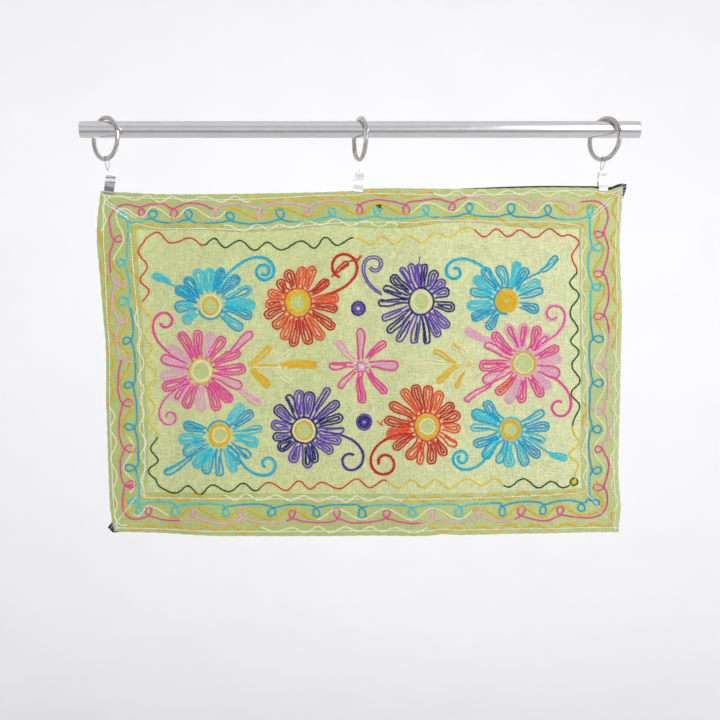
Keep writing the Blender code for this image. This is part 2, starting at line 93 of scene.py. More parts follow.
# Sharp lines where the cloth was folded away, beside the soft creases
PRESSED = table(Crease, (
    (-1.5, 1.9, 0.5, -60, -490), (-144, 1.9, 0.42, -60, -225), (-46, 1.9, 0.35, -232, -270),
    (-131, 1.9, 0.35, -428, -490),
))
PRESSED_FADE = 9
TOP_EDGE_Z = -73
BOTTOM_EDGE_Z = -477
CLIP_HALF = 6
CLIP_SPREAD = 14
CLIP_FALL = 22
HINGE_Y = -0.6
HINGE_Z = 13

TOP_EDGE = Line(
    (-305.4, -72.5), (-286.7, -73.6), (-243, -75.9), (-177, -76.5), (-90, -74.8), (-7, -72.3),
    (10, -69.4), (119, -70.1), (206, -68.4), (271, -68.9), (294, -71.3), (305.6, -67.6), (310, -68.3),
)
BOTTOM_EDGE = Line(
    (-290.3, -474.2), (-128.6, -479.2), (80, -478.5), (97, -476.6), (119, -478.1), (304, -474.3),
)
LEFT_EDGE = Line(
    (-474.2, -290.3), (-449, -294.6), (-414, -296.4), (-343, -298.7), (-319, -299.6), (-278, -299.4),
    (-254, -300.1), (-201, -304.6), (-151.5, -308.8), (-134.6, -310.3), (-108.7, -310), (-91, -308),
    (-72.5, -305.4),
)
RIGHT_EDGE = Line(
    (-474.3, 304), (-461, 305.1), (-443, 306.8), (-428, 305.6), (-402, 304), (-343, 305.4),
    (-254, 307.4), (-213, 308.5), (-154, 306.4), (-130, 306), (-101, 307.9), (-68.3, 310.1),
)
TOP_SEAM = Line(
    (-264, -117.6), (-177, -118.6), (-147, -120.8), (-84, -118.1), (-38, -112.8), (16, -115.9),
    (61, -115.3), (88, -110.9), (133, -109.4), (179, -114.2), (218, -116.7), (258.2, -117.2),
)
BOTTOM_SEAM = Line((-253.2, -428.6), (-156, -428.9), (-12, -430.5), (163, -428.3), (262, -423))
LEFT_SEAM = Line(
    (-428.6, -253.2), (-413.5, -251.5), (-366, -250.9), (-295, -253.6), (-254, -255.8), (-189, -260.8),
    (-117.6, -264),
)
RIGHT_SEAM = Line(
    (-423, 262), (-378, 260.3), (-313, 261.4), (-260, 259.6), (-189, 259.6), (-117.2, 258.2),
)
BACKING_TOP = Line((-305, -1), (90, -0.8), (125, 0.8), (170, 2), (270, 2.2), (300, 4), (310, 4))
BACKING_BOTTOM = Line((-300, 1.4), (-289, 1.4), (-270, -1), (304, -1))
BACKING_LEFT = Line((-476, 1), (-470.4, 7.2), (-464, 1.5), (-456, -1), (-72, -1))
BACKING_RIGHT = Line((-474, -1), (-86, -1), (-76, 2.6), (-68, 4.4))

# The two cloths lie on either side of the folded surface
CLOTH_PARTING = 0.4
FRONT_CLOTH = 1.2
BACK_CLOTH = 1.0
BORDER_LIFT = 0.15
EDGE_ROUNDING = 1.1
EDGE_DROP = 0.4

# Sides of the border, clockwise from the top left corner. Each runs from one mitre to the next.
Side = namedtuple("Side", "name edge seam axis outer inner")
SIDES = (
    Side("top", TOP_EDGE, TOP_SEAM, 0, (-305.4, 310), (-264, 258.2)),
    Side("right", RIGHT_EDGE, RIGHT_SEAM, 1, (-68.3, -474.3), (-117.2, -423)),
    Side("bottom", BOTTOM_EDGE, BOTTOM_SEAM, 0, (304, -290.3), (262, -253.2)),
    Side("left", LEFT_EDGE, LEFT_SEAM, 1, (-474.2, -72.5), (-428.6, -117.6)),
)

# Thread colours, as they look in even light: red, green and blue from 0 to 255
THREADS = {
    "cream": (255, 246, 182),
    "mustard": (255, 188, 36),
    "yellow": (250, 206, 58),
    "magenta": (255, 76, 157),
    "pink": (255, 174, 202),
    "teal": (0, 168, 208),
    "turquoise": (68, 204, 217),
    "red": (204, 43, 40),
    "orange": (255, 86, 50),
    "purple": (106, 70, 180),
    "navy": (44, 34, 118),
    "green": (14, 88, 44),
    "brick": (216, 72, 48),
    "white": (255, 255, 250),
}
CHAIN_PITCH = 2.8
CURVE_PITCH = 2.35
STITCH_JITTER = 0.16
CHAIN_WIDTH = 2.5
THREAD_RADIUS = 0.52
THREAD_SIDES = 3
OPEN_SPACING = 3.15
FULL_SPACING = 2.6

# One link of chain stitch: along the row in stitch lengths, across it in half widths, up in millimetres
CHAIN_LINK = np.array([
    (0.00, 0.00, 0.10), (0.38, 0.72, 0.26), (0.82, 1.00, 0.34), (1.18, 0.66, 0.40),
    (1.34, 0.00, 0.46), (1.18, -0.66, 0.40), (0.82, -1.00, 0.34), (0.38, -0.72, 0.26),
])

# Flowers. Rings and collars are rounds of stitch about the middle: a ring has its radius and thread, and a
# collar its start and end in degrees too. A petal has its direction in degrees from the right, its tip's
# distance from the middle, its width, its outline's thread, the thread inside where it is another, and how
# many rows that has: 2 stands for as many as fill it.
Flower = namedtuple("Flower", "x z rings collars petals")
Petal = namedtuple("Petal", "angle reach width outline inside rows", defaults=("", 1))
FLOWERS = (
    # Blue top left
    Flower(-176, -208, ((12, "cream"), (9.3, "mustard")), ((15.3, 195, 345, "teal"),), (
        (-153, 37, 13, "turquoise"), (180, 42, 13, "teal", "turquoise"), (155, 46, 13, "teal", "teal", 2),
        (135, 44, 12, "teal", "teal", 2), (111, 46, 12, "turquoise"), (90, 44, 12, "turquoise", "turquoise", 2),
        (72, 46, 11, "teal", "teal", 2), (47, 48, 12, "teal", "teal", 2), (23, 52, 12, "turquoise", "teal"),
        (0, 52, 14, "turquoise", "turquoise", 2), (-14, 50, 12, "teal"), (-35, 46, 12, "teal", "turquoise"),
    )),
    # Orange top
    Flower(-73, -204, ((13.6, "mustard"), (11.4, "mustard"), (9.4, "yellow")), ((16.5, 0, 360, "orange"),), (
        (132, 35, 11, "red"), (104, 40, 12, "red"), (83, 42, 12, "orange"), (64, 46, 12, "orange"),
        (37, 44, 11, "red", "red", 2), (7, 48, 12, "orange", "orange", 2), (-12, 47, 11, "red"),
        (-36, 52, 11, "red"), (-56, 52, 12, "orange"), (-75, 51, 12, "red"), (-97, 52, 11, "red"),
        (-114, 47, 12, "orange"), (-134, 41, 12, "red", "orange"), (-156, 42, 11, "red"),
        (-177, 38, 11, "orange", "red"), (158, 37, 11, "orange"),
    )),
    # Purple top
    Flower(72, -203, ((12.3, "cream"), (10, "cream")), ((15.3, 0, 360, "navy"),), (
        (180, 50, 9, "navy", "purple"), (161, 47, 9, "navy"), (137, 46, 11, "navy"), (121, 46, 8, "purple"),
        (106, 46, 8, "purple"), (95, 44, 7, "purple"), (84, 44, 8, "navy"), (63, 40, 11, "navy", "purple"),
        (45, 37, 11, "purple"), (22, 35, 12, "navy", "purple"), (-10, 40, 12, "navy"), (-41, 44, 11, "purple"),
        (-64, 46, 11, "purple"), (-83, 50, 8, "navy"), (-99, 50, 9, "purple", "navy"),
        (-121, 54, 9, "purple", "navy"), (-138, 53, 9, "navy"), (-156, 50, 9, "purple"),
    )),
    # Blue top right
    Flower(173, -202, (
        (12.9, "mustard"), (10.6, "mustard"), (8.4, "mustard"), (6.1, "mustard"), (4, "mustard"),
    ), ((15.3, 60, 270, "teal"),), (
        (-127, 40, 12, "teal"), (-152, 46, 12, "teal", "teal", 2), (-174, 47, 12, "turquoise", "turquoise", 2),
        (163, 44, 11, "teal", "turquoise"), (145, 47, 11, "turquoise", "turquoise", 2), (124, 47, 12, "teal"),
        (101, 42, 12, "teal", "turquoise"), (74, 48, 11, "turquoise", "turquoise", 2), (57, 45, 11, "teal"),
        (33, 45, 12, "turquoise"), (16, 44, 9, "teal", "turquoise"), (-17, 39, 12, "teal"),
    )),
    # Pink left
    Flower(-187, -285, ((14.5, "mustard"), (12.4, "cream"), (10.4, "cream")), (), (
        (161, 50, 12, "magenta", "pink", 2), (142, 48, 11, "pink"), (120, 52, 12, "magenta"),
        (94, 48, 12, "magenta"), (75, 47, 11, "pink"), (57, 48, 12, "magenta"), (27, 51, 12, "magenta"),
        (5, 52, 13, "magenta"), (-19, 51, 12, "magenta", "pink"), (-45, 50, 12, "magenta", "magenta", 2),
        (-66, 50, 11, "magenta"), (-88, 47, 11, "pink"), (-112, 47, 12, "magenta"),
        (-133, 48, 12, "pink", "magenta"), (-156, 50, 12, "magenta"), (-175, 48, 12, "pink"),
    )),
    # Pink right
    Flower(193, -276, ((10.9, "cream"), (13.2, "mustard")), ((15.8, 0, 360, "pink"),), (
        (110, 50, 11, "pink", "magenta"), (134, 51, 11, "magenta"), (154, 51, 9, "magenta", "pink"),
        (-179, 52, 14, "magenta"), (-156, 52, 12, "magenta", "pink"), (-131, 48, 11, "magenta", "orange"),
        (-111, 50, 11, "pink"), (-91, 46, 11, "magenta"), (-64, 44, 11, "magenta"),
        (-42, 42, 11, "pink", "pink", 2), (-18, 44, 14, "magenta", "pink", 2), (7, 44, 11, "pink"),
        (25, 45, 11, "magenta"), (49, 45, 12, "pink", "magenta"), (68, 47, 11, "magenta"),
        (89, 47, 14, "pink", "magenta"),
    )),
    # Blue bottom left
    Flower(-165, -360, ((12.6, "mustard"), (10.5, "mustard"), (8.6, "cream")), ((15.9, 30, 160, "teal"),), (
        (162, 44, 13, "teal"), (-171, 48, 14, "turquoise"), (-152, 48, 12, "teal", "turquoise"),
        (-127, 48, 11, "turquoise", "turquoise", 2), (-110, 48, 12, "teal", "turquoise"), (-91, 48, 9, "teal"),
        (-66, 47, 11, "turquoise"), (-56, 41, 8, "teal"), (-38, 44, 9, "teal"),
        (-13, 46, 12, "turquoise", "turquoise", 2), (9, 50, 9, "turquoise", "teal"), (34, 47, 11, "teal"),
        (54, 45, 11, "turquoise"),
    )),
    # Purple bottom
    Flower(-66, -355, ((12.6, "cream"), (10.2, "mustard")), ((15.3, 0, 360, "navy"),), (
        (97, 48, 12, "purple"), (80, 46, 14, "navy", "purple"), (60, 58, 9, "purple", "navy"),
        (39, 53, 11, "navy", "purple"), (20, 48, 12, "navy"), (3, 47, 8, "purple"), (-18, 45, 11, "purple"),
        (-41, 42, 11, "purple"), (-69, 40, 11, "navy"), (-86, 44, 13, "purple", "navy"), (-111, 40, 13, "purple"),
        (-140, 37, 13, "navy", "navy", 2), (-167, 37, 11, "navy", "purple"), (167, 39, 12, "purple"),
        (140, 44, 14, "navy", "purple"), (117, 46, 9, "navy"),
    )),
    # Orange bottom
    Flower(79, -350, ((13, "mustard"), (10.9, "mustard"), (8.8, "cream")), ((16, 0, 360, "orange"),), (
        (105, 51, 11, "red"), (88, 48, 11, "red", "orange"), (69, 44, 12, "orange"), (44, 41, 11, "red"),
        (22, 41, 12, "red"), (-3, 39, 12, "orange"), (-30, 41, 9, "orange"), (-58, 40, 11, "red"),
        (-83, 44, 12, "red"), (-102, 45, 9, "orange"), (-121, 44, 12, "red", "orange"), (-147, 47, 11, "red"),
        (-167, 48, 14, "orange", "orange", 2), (170, 50, 11, "red"), (147, 51, 12, "red", "orange"),
        (123, 52, 11, "orange"),
    )),
    # Blue bottom right
    Flower(178, -354, ((11.2, "mustard"), (9, "mustard")), ((14.2, 0, 360, "turquoise"),), (
        (133, 45, 11, "teal"), (155, 50, 14, "teal", "turquoise", 2), (177, 47, 9, "turquoise", "teal"),
        (-159, 47, 11, "teal"), (-135, 46, 12, "teal", "turquoise", 2), (-111, 42, 9, "teal", "turquoise"),
        (-93, 44, 13, "turquoise"), (-65, 46, 11, "teal", "turquoise"), (-43, 46, 11, "teal"),
        (-20, 42, 9, "turquoise", "teal"), (3, 45, 11, "teal"), (29, 44, 9, "teal", "turquoise"),
    )),
)
DISC_COLOUR = (166, 186, 92)
DISC_DEPTH = 0.45
PETAL_ROOT = 0.52
PETAL_GROWTH = 1.3
COLLAR_CLEARANCE = 0.9
MOST_ROWS = 9
LEAST_HALF = 0.8
PETAL_PUCKER = 0.22
FLOWER_SWELL = 0.5

# Curled tendrils: start, middle of the curl, its radius, how far it closes, its turn in degrees, its width,
# its thread, a second thread beside it and how far apart the two are
Tendril = namedtuple("Tendril", "x z curl_x curl_z radius closing turn width thread second apart")
TENDRILS = table(Tendril, (
    (-168, -189, -113, -167, 15.3, 0.32, -690, 2.2, "teal", "turquoise", 1.9),
    (-45, -196, -19, -161, 15.2, 0.95, 373, 2.3, "red", "red", 1.5),
    (26, -195, 17, -160, 14.2, 0.5, -430, 1.9, "purple", "purple", 2.9),
    (165, -185, 112, -168, 14.8, 0.32, 480, 2.2, "teal", "turquoise", 1.8),
    (-210, -273, -230, -226, 13.4, 0.5, -445, 2.3, "magenta", "magenta", 1),
    (-198, -299, -224.5, -339, 12.6, 0.34, 480, 2.2, "magenta", "pink", 1.6),
    (213, -253, 228, -218, 13.8, 0.35, 430, 2.2, "magenta", "pink", -1.9),
    (224, -290, 235, -327, 15, 0.45, -400, 2.2, "magenta", "magenta", 1),
    (-144, -385, -109.5, -394.5, 14.6, 0.32, 425, 2.3, "teal", "turquoise", 1.6),
    (-44, -356, -11, -390, 17, 0.45, -430, 2.2, "navy", "purple", 1.2),
    (60, -358, 29, -393, 19, 0.4, 500, 2.3, "red", "red", 1.3),
    (164, -362, 119.5, -387.5, 13.6, 0.28, -620, 2.2, "teal", "turquoise", 1.5),
))
TENDRIL_EASE = 38

# Leaves, buds and star points: from root to tip, then as a petal
Leaf = namedtuple("Leaf", "x z tip_x tip_z width outline inside rows", defaults=("", 1))
LEAVES = table(Leaf, (
    (1, -271, -1, -234, 12, "magenta", "pink"), (9, -270, 31, -250, 10.5, "magenta"),
    (12, -277, 46, -277, 13, "magenta", "pink", 2), (10, -284, 31, -312, 10.5, "magenta"),
    (1, -288, 2, -324, 12, "magenta"), (-6, -285, -25, -306, 8.5, "magenta", "pink"),
    (-8, -278, -37, -277, 10, "magenta"), (-5, -272, -29, -250, 9.5, "pink"),
    (-224, -181, -245, -170, 9.5, "turquoise", "turquoise", 2), (-28, -169, -13, -156, 8.5, "red"),
    (214, -167, 234, -150, 9.5, "teal", "turquoise"), (-153, -264, -126, -239, 10.5, "magenta", "pink"),
    (-144, -305, -116, -323, 9.5, "pink"), (153, -248, 123, -236, 10.5, "pink", "pink", 2),
    (153, -302, 123, -321, 8.5, "magenta", "pink"), (-199, -386, -232, -406, 9.5, "teal", "turquoise"),
    (224, -382, 245, -388, 9.5, "turquoise", "turquoise", 2), (-129, -276, -105, -255, 8.5, "mustard"),
    (-127, -282, -107, -304, 10.5, "mustard", "mustard", 2), (-101, -275, -81, -259, 7.2, "cream", "", 0),
    (-94, -278, -50, -278, 10.5, "mustard", "mustard", 2), (-101, -285, -81, -298, 7.2, "cream", "", 0),
    (100, -276, 55, -275, 9.5, "cream"), (113, -276, 86, -261, 6.5, "mustard"),
    (127, -271, 107, -249, 9.5, "cream", "mustard"), (115, -279, 90, -298, 8.5, "mustard"),
    (125, -284, 110, -307, 12, "cream", "mustard"),
))

Stem = namedtuple("Stem", "x z end_x end_z thread")
STEMS = table(Stem, (
    (-201, -195, -224, -181, "turquoise"), (-34, -174, -27, -168, "red"), (-13, -156, -1, -152, "red"),
    (183, -183, 214, -167, "teal"), (-159, -262, -152, -262, "magenta"), (169, -259, 153, -248, "pink"),
    (172, -280, 153, -302, "magenta"), (-182, -375, -199, -386, "teal"), (199, -365, 224, -382, "turquoise"),
    (-132, -278, -99, -278, "mustard"), (-127, -280, -87, -281, "cream"), (-105, -281, -99, -287, "cream"),
    (139, -277, 112, -277, "mustard"), (138, -278, 99, -276, "cream"), (132, -275, 127, -271, "cream"),
    (132, -280, 125, -284, "cream"),
))

# Small round dots: their middle, and their rounds of stitch
Dot = namedtuple("Dot", "x z rounds")
DOTS = table(Dot, (
    (-2, -211, ((7.9, "navy"), (5.6, "purple"), (3.4, "purple"))),
    (5, -345, ((9, "purple"), (6.7, "navy"), (4.5, "navy"), (2.7, "purple"))),
    (252.3, -415.4, ((4.3, "green"), (2.2, "yellow"))), (22.6, -90.6, ((1.2, "green"),)),
    (-270.5, -420.8, ((2.4, "magenta"),)),
))

# Small loops sewn round and round in the middle of the star: thread, size, loop size, loops, start in degrees
Scribble = namedtuple("Scribble", "x z thread size loop loops start")
SCRIBBLES = table(Scribble, (
    (2, -280, "pink", 5, 2.6, 7, 0), (2.6, -279.4, "white", 2.8, 1.9, 5, 40),
    (1.6, -280.4, "magenta", 6.4, 1.5, 9, 20),
))

# Single loose threads and stray stitches
Tail = namedtuple("Tail", "x z end_x end_z thread")
TAILS = table(Tail, (
    (-73.7, -209, -70.8, -195.5, "cream"), (68.6, -160, 70.6, -151, "purple"), (24, -349, 27, -343, "orange"),
    (20, -343, 27, -349, "orange"), (-166, -190, -161, -193, "orange"), (-175, -282, -162, -286, "cream"),
    (-5, -154, 2, -150, "red"), (-3, -157, 0, -149, "red"), (18, -88, 21, -90, "green"),
    (19.5, -86, 22, -89, "green"), (27, -88, 24, -90, "green"), (27, -93.5, 24, -92, "green"),
    (22.4, -95.5, 23, -92, "green"), (178, -179, 181, -163, "turquoise"), (62, -346, 56, -341, "orange"),
    (63, -350, 55, -348, "orange"), (165, -186, 171, -190, "white"), (-68, -340, -66, -343, "orange"),
))
TAIL_WIDTH = 1.3

# Rows of stitch round the border. Depth runs from 0 at the outer edge to 1 at the seam. A span gives where
# a thread starts: the side's number, from 0 at the top, plus the share of that side.
OUTER_WAVE = taking_turns("cream", "mustard", (0, 0.28, 0.64, 0.955, 1.465, 1.955, 2.37, 2.71, 2.98, 3.36, 3.89))
PINK_SCALLOPS = taking_turns("magenta", "pink", (
    0, 0.195, 0.49, 0.72, 0.955, 1.41, 1.79, 2.18, 2.38, 2.665, 2.89, 3.5, 3.79
))
WIDE_WAVE = taking_turns("cream", "mustard", (
    0, 0.22, 0.6, 0.9, 1.395, 1.9, 2.27, 2.6, 2.915, 2.99, 3.06, 3.25, 3.83
))
BLUE_SCALLOPS = taking_turns("turquoise", "teal", (
    0, 0.058, 0.36, 0.65, 0.905, 1.35, 1.885, 1.97, 2.23, 2.49, 2.8, 3.125, 3.67
))
INNER_WAVE = taking_turns("mustard", "cream", (0, 0.2, 0.585, 1.04, 1.66, 1.745, 1.97, 2.41, 2.81, 2.99, 3.69))
FIELD_WAVE = (
    (0, "brick"), (0.14, "green"), (0.483, "yellow"), (0.767, "brick"), (1.145, "green"),
    (1.767, "yellow"), (2.01, "green"), (2.164, "yellow"), (2.444, "brick"), (2.751, "green"),
    (3.188, "yellow"), (3.733, "brick"),
)

# Where the loops stand along each side, top, right, bottom and left
PINK_LOOPS = (
    (-257, -218, -171, -116, -59, 0, 55, 110, 158, 205, 251),
    (-124, -170, -219, -278, -332, -378, -423),
    (236, 190, 140, 85, 30, -27, -81, -140, -195, -250),
    (-419, -375, -323, -270, -225, -180, -130),
)
BLUE_LOOPS = (
    (-288, -244, -201, -151, -93, -31, 21, 79, 130, 179, 223, 272),
    (-140, -187, -247, -300, -353, -403, -440),
    (262, 216, 168, 117, 61, 2, -52, -104, -159, -217, -262),
    (-440, -400, -351, -301, -248, -201, -156),
)

# The middle of the wavy line round the field, clockwise from the top left corner
FIELD_FRAME = (
    (-254, -127), (-205, -131), (-160, -135), (-105, -138.5), (-55, -134), (0, -131), (60, -129), (123, -121.5),
    (185, -123), (249, -126), (252, -170), (254, -280), (254, -350), (252, -390), (251, -417), (170, -416.5),
    (60, -417.5), (-60, -419), (-125, -421.5), (-175, -423.8), (-239, -421), (-243, -370), (-246, -300),
    (-250, -240), (-254, -180),
)
FIELD_CORNERS = (0, 9, 14, 20)

# A scallop's loop, in loop widths and lengths from where the thread crosses itself
LOOP = (
    (-0.85, -0.14), (-0.05, 0.0), (0.42, 0.36), (0.40, 0.80), (-0.05, 1.0), (-0.50, 0.80), (-0.46, 0.36),
    (0.0, -0.04), (0.7, -0.30),
)
SCALLOP_WIDTH = 2.1
ROUND_STEP = 1.5

# Flat sizes of the sheets, and the places along them where their grid is dense enough for sharp creases
FIELD_LENGTH, FIELD_WIDTH = 523, 312
BORDER_WIDTH = 46
BACKING_LENGTH, BACKING_WIDTH = 612, 404
EDGE_STEP = 0.35
DENSE_PITCH = 1.2
FIELD_DENSE = ((109, 124), (208, 222), (250, 267))
BORDER_DENSE = {"top": ((136, 167), (297, 313)), "bottom": ((297, 312), (424, 440))}

# Topstitching by machine: how far in from the edge, and out from the seam, by place round the border
OUTER_STITCH = (
    (0, 5), (0.05, 5.7), (0.12, 5.1), (0.21, 7), (0.33, 5.9), (0.42, 4.1), (0.55, 6.7), (0.78, 7.2),
    (0.9, 3.9), (1, 4.5), (1.5, 6), (2, 5.5), (2.5, 6), (3, 4.5), (3.6, 4.4), (3.85, 8), (4, 5),
)
INNER_STITCH = (
    (0, 7), (0.05, 1.3), (0.19, 1.9), (0.31, 4.3), (0.41, 1.5), (0.46, 2.9), (0.56, 6.9), (0.71, 2.1),
    (0.8, 2.7), (0.92, 7.5), (1.03, 3), (1.23, 1.8), (1.37, 2.2), (1.55, 5.7), (1.81, 7), (2, 5.6),
    (2.1, 5.6), (2.53, 5.4), (2.85, 5.9), (3, 5.8), (3.1, 3.2), (3.26, 4.3), (3.47, 5.3), (3.66, 3.7),
    (3.9, 5.9), (4, 7),
)
MitreStitch = namedtuple("MitreStitch", "x z end_x end_z")
MITRE_STITCHES = table(MitreStitch, (
    (-299.7, -87.8, -271, -107), (-297, -86, -262, -106), (-293, -91, -274, -104), (304, -77, 269, -109),
    (300, -76, 276, -98), (-264.3, -433.5, -291.5, -469), (280.8, -448.9, 300.9, -466), (266, -427, 283, -447),
))
STITCH_LENGTH = 2.7
STITCH_GAP = 0.55
STITCH_RADIUS = 0.7
STITCH_ARCH = np.array([(0.0, -0.15), (0.12, 0.34), (0.88, 0.34), (1.0, -0.15)])

LooseThread = namedtuple("LooseThread", "x z reach_x reach_z curl")
LOOSE_THREADS = table(LooseThread, (
    (303, -74, 17, 4, 2.0), (306, -72, 15, 2, -2.5), (304, -70, 12, 6, 1.5), (306, -76, 13, -2, 2.5),
    (300, -73, 16, 7, -1.0), (287, -75, 3, 5, 1.0), (-292, -463, -9, 4, 2.0), (-290, -468, -6, -3, -1.5),
))

SPRING_TURNS = 3.5
SPRING_RADIUS = 1.35
SPRING_WIRE = 0.3

# Between these places the cloth is painted lighter and paler, more and more to the right: painted haze of the light
# from that side
PAINTED_HAZE_FROM_TO = (-60, 300)
SLUB_SCALES = ((1 / 9, 1, 1 / 0.8), (1 / 0.8, 1, 1 / 9))
# The colour of the painted highlight along the top of the shaded clip plate
PAINTED_HIGHLIGHT = (252, 244, 244)

# The studio, in millimetres, and its camera, in metres and millimetres of film
FLOOR_Z = -1150.0
BACKDROP_TOP = 9000.0
BACKDROP_HALF = 40000.0
CAMERA_AWAY = 1.4
FRAME_WIDTH = 0.8496
SENSOR_WIDTH = 36


def wander(place, seed, rates=(1.0, 1.7, 2.9)):
    """Smooth unevenness from -1 to 1 along a row of places."""
    phases = np.random.default_rng(seed).uniform(0, 2 * pi, len(rates))
    return sum(np.sin(place * rate + phase) for rate, phase in zip(rates, phases)) / len(rates)


def blend(first, last, share):
    """What lies between two values, by a share from 0 to 1."""
    return first * (1 - share) + last * share


def reach(crease, z, fade):
    """How fully a crease is there, from 0 to 1: it fades towards both ends."""
    return np.clip(np.minimum(crease.top - z, z - crease.bottom) / fade, 0, 1)


def fold(x, z):
    """How far the cloth's middle surface lies behind the rod's axis."""
    down = (TOP_EDGE_Z - z) / (TOP_EDGE_Z - BOTTOM_EDGE_Z)
    y = 0.0
    for wave in WAVES:
        size = wave.top + (wave.bottom - wave.top) * down
        y = y - size * np.cos(2 * pi * (x - wave.crest - wave.drift * down) / wave.length)
    for crease in CREASES:
        depth = crease.depth * np.maximum(0, 1 - np.abs(x - crease.x) / crease.half)
        y = y + depth * reach(crease, z, CREASE_FADE)
    for hanger in HANGERS:
        away = x - hanger.jaw_x
        fall = np.maximum(0, hanger.jaw_z - z) / CLIP_FALL
        y = y + hanger.twist * away * np.exp(-((away / CLIP_SPREAD) ** 2) - fall)
    return y


def ripple(x, z):
    """Small unevenness of the cloth between its stitches. It dies away under the clips."""
    soft = 0.30 * np.sin(x / 11 + z / 23) * np.sin(z / 13 - x / 31)
    fine = 0.16 * np.sin(x / 4.7 + 1.3 * np.sin(z / 19)) * np.sin(z / 5.3 + 0.8 * np.sin(x / 17))
    pucker = 0.0
    for flower in FLOWERS:
        across, up = x - flower.x, z - flower.z
        away = np.hypot(across, up)
        petals = np.cos(len(flower.petals) * np.arctan2(up, across))
        pucker = pucker + PETAL_PUCKER * petals * np.exp(-(((away - 54) / 9) ** 2))
        pucker = pucker - FLOWER_SWELL * np.exp(-((away / 40) ** 2))
    pressed = 0.0
    for line in PRESSED:
        away = (x - line.x - 1.1 * np.sin(z / 34)) / line.half
        sharp = line.depth * np.exp(-(away**2)) * reach(line, z, PRESSED_FADE)
        pressed = pressed + sharp * (0.8 + 0.2 * np.sin(z / 15))
    calm, firm = (np.clip((TOP_EDGE_Z - start - z) / length, 0, 1) for start, length in ((16, 20), (6, 8)))
    return (soft + fine + pucker) * calm + pressed * firm


def in_field(x, z):
    inside = (z < TOP_SEAM(x)) & (z > BOTTOM_SEAM(x))
    return inside & (x > LEFT_SEAM(z)) & (x < RIGHT_SEAM(z))


def face(x, z):
    """The front face of the cloth, where stitches lie."""
    lift = np.where(in_field(x, z), 0.0, BORDER_LIFT)
    return fold(x, z) - CLOTH_PARTING / 2 - FRONT_CLOTH + ripple(x, z) - lift


def back_face(x, z):
    """The back of the lining, away from its edge."""
    return fold(x, z) + CLOTH_PARTING / 2 + BACK_CLOTH + ripple(x, z)


def off_face(flat, height, surface=face):
    """Places (x, z) brought to a height off a face, towards the viewer."""
    x, z = flat[..., 0], flat[..., 1]
    return np.stack([x, surface(x, z) - height, z], -1)


def on_border(side, share, depth):
    """Places (x, z) on a side of the border. share runs along it and depth across it, both 0 to 1."""
    outer, inner = (ends[0] + (ends[1] - ends[0]) * share for ends in (side.outer, side.inner))
    along = outer + (inner - outer) * depth
    across = side.edge(outer) + (side.seam(inner) - side.edge(outer)) * depth
    return (along, across) if side.axis == 0 else (across, along)


def mesh_object(name, points, faces, material, body="root"):
    """A smooth mesh object from points in millimetres and an array of equal-sided faces."""
    mesh = bpy.data.meshes.new(name)
    mesh.vertices.add(len(points))
    mesh.vertices.foreach_set("co", (np.asarray(points, float) * MM).astype(np.float32).ravel())
    mesh.loops.add(faces.size)
    mesh.loops.foreach_set("vertex_index", faces.astype(np.int32).ravel())
    mesh.polygons.add(len(faces))
    mesh.polygons.foreach_set("loop_start", np.arange(0, faces.size, faces.shape[1], dtype=np.int32))
    mesh.update(calc_edges=True)
    mesh.validate()
    mesh.shade_smooth()
    mesh.materials.append(material)
    thing = place_object(name, mesh)
    if body:
        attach(thing, body)
    return thing


def place_object(name, data):
    thing = bpy.data.objects.new(name, data)
    bpy.context.scene.collection.objects.link(thing)
    return thing


def sheet_object(name, x, z, near, far, material):
    """A closed thin sheet from grids of places and of its two faces' depths."""
    points = np.concatenate([np.stack([x, depth, z], -1).reshape(-1, 3) for depth in (near, far)])
    index = np.arange(x.size).reshape(x.shape)
    cells = np.stack([index[:-1, :-1], index[:-1, 1:], index[1:, 1:], index[1:, :-1]], -1).reshape(-1, 4)
    rim = np.concatenate([index[0, :], index[1:, -1], index[-1, -2::-1], index[-2:0:-1, 0]])
    after = np.roll(rim, -1)
    walls = np.stack([rim, rim + x.size, after + x.size, after], -1)
    faces = np.concatenate([cells[:, ::-1], cells + x.size, walls[:, ::-1]])
    right, down = ((x[i, j] - x[0, 0], z[i, j] - z[0, 0]) for i, j in ((0, 1), (1, 0)))
    if right[0] * down[1] > right[1] * down[0]:
        faces = faces[:, ::-1]
    return mesh_object(name, points, faces, material)


def unit(vectors):
    """Vectors brought to a length of one."""
    return vectors / np.maximum(np.linalg.norm(vectors, axis=-1, keepdims=True), 1e-9)


def tubes(name, centres, radii, sides, material, closed):
    """Round threads along rows of centres, an array of (thread, point, 3), closed in loops or capped."""
    count, steps, _ = centres.shape
    if closed:
        along = unit(np.roll(centres, -1, 1) - np.roll(centres, 1, 1))
    else:
        along = unit(np.gradient(centres, axis=1))
    side = unit(np.cross(along, (0.0, 1.0, 0.0)))
    up = np.cross(side, along)
    turn = 2 * pi * np.arange(sides) / sides + pi / 2
    ring = side[:, :, None] * np.cos(turn)[:, None] + up[:, :, None] * np.sin(turn)[:, None]
    points = centres[:, :, None] + ring * np.asarray(radii, float).reshape(-1, steps, 1, 1)
    k = np.arange(sides)
    after = (k + 1) % sides
    i = np.arange(steps if closed else steps - 1)[:, None] * sides
    following = (i + sides) % (steps * sides)
    faces = np.stack([i + k, following + k, following + after, i + after], -1).reshape(-1, 4)
    size = steps * sides
    if not closed:
        points = np.concatenate([points.reshape(count, -1, 3), centres[:, :1], centres[:, -1:]], 1)
        start = np.stack([np.full(sides, size), k, after], -1)
        end = np.stack([np.full(sides, size + 1), size - sides + after, size - sides + k], -1)
        faces = np.concatenate([faces[:, [0, 1, 2]], faces[:, [0, 2, 3]], start, end])
        size += 2
    faces = (np.arange(count)[:, None, None] * size + faces).reshape(-1, faces.shape[1])
    return mesh_object(name, points.reshape(-1, 3), faces, material)


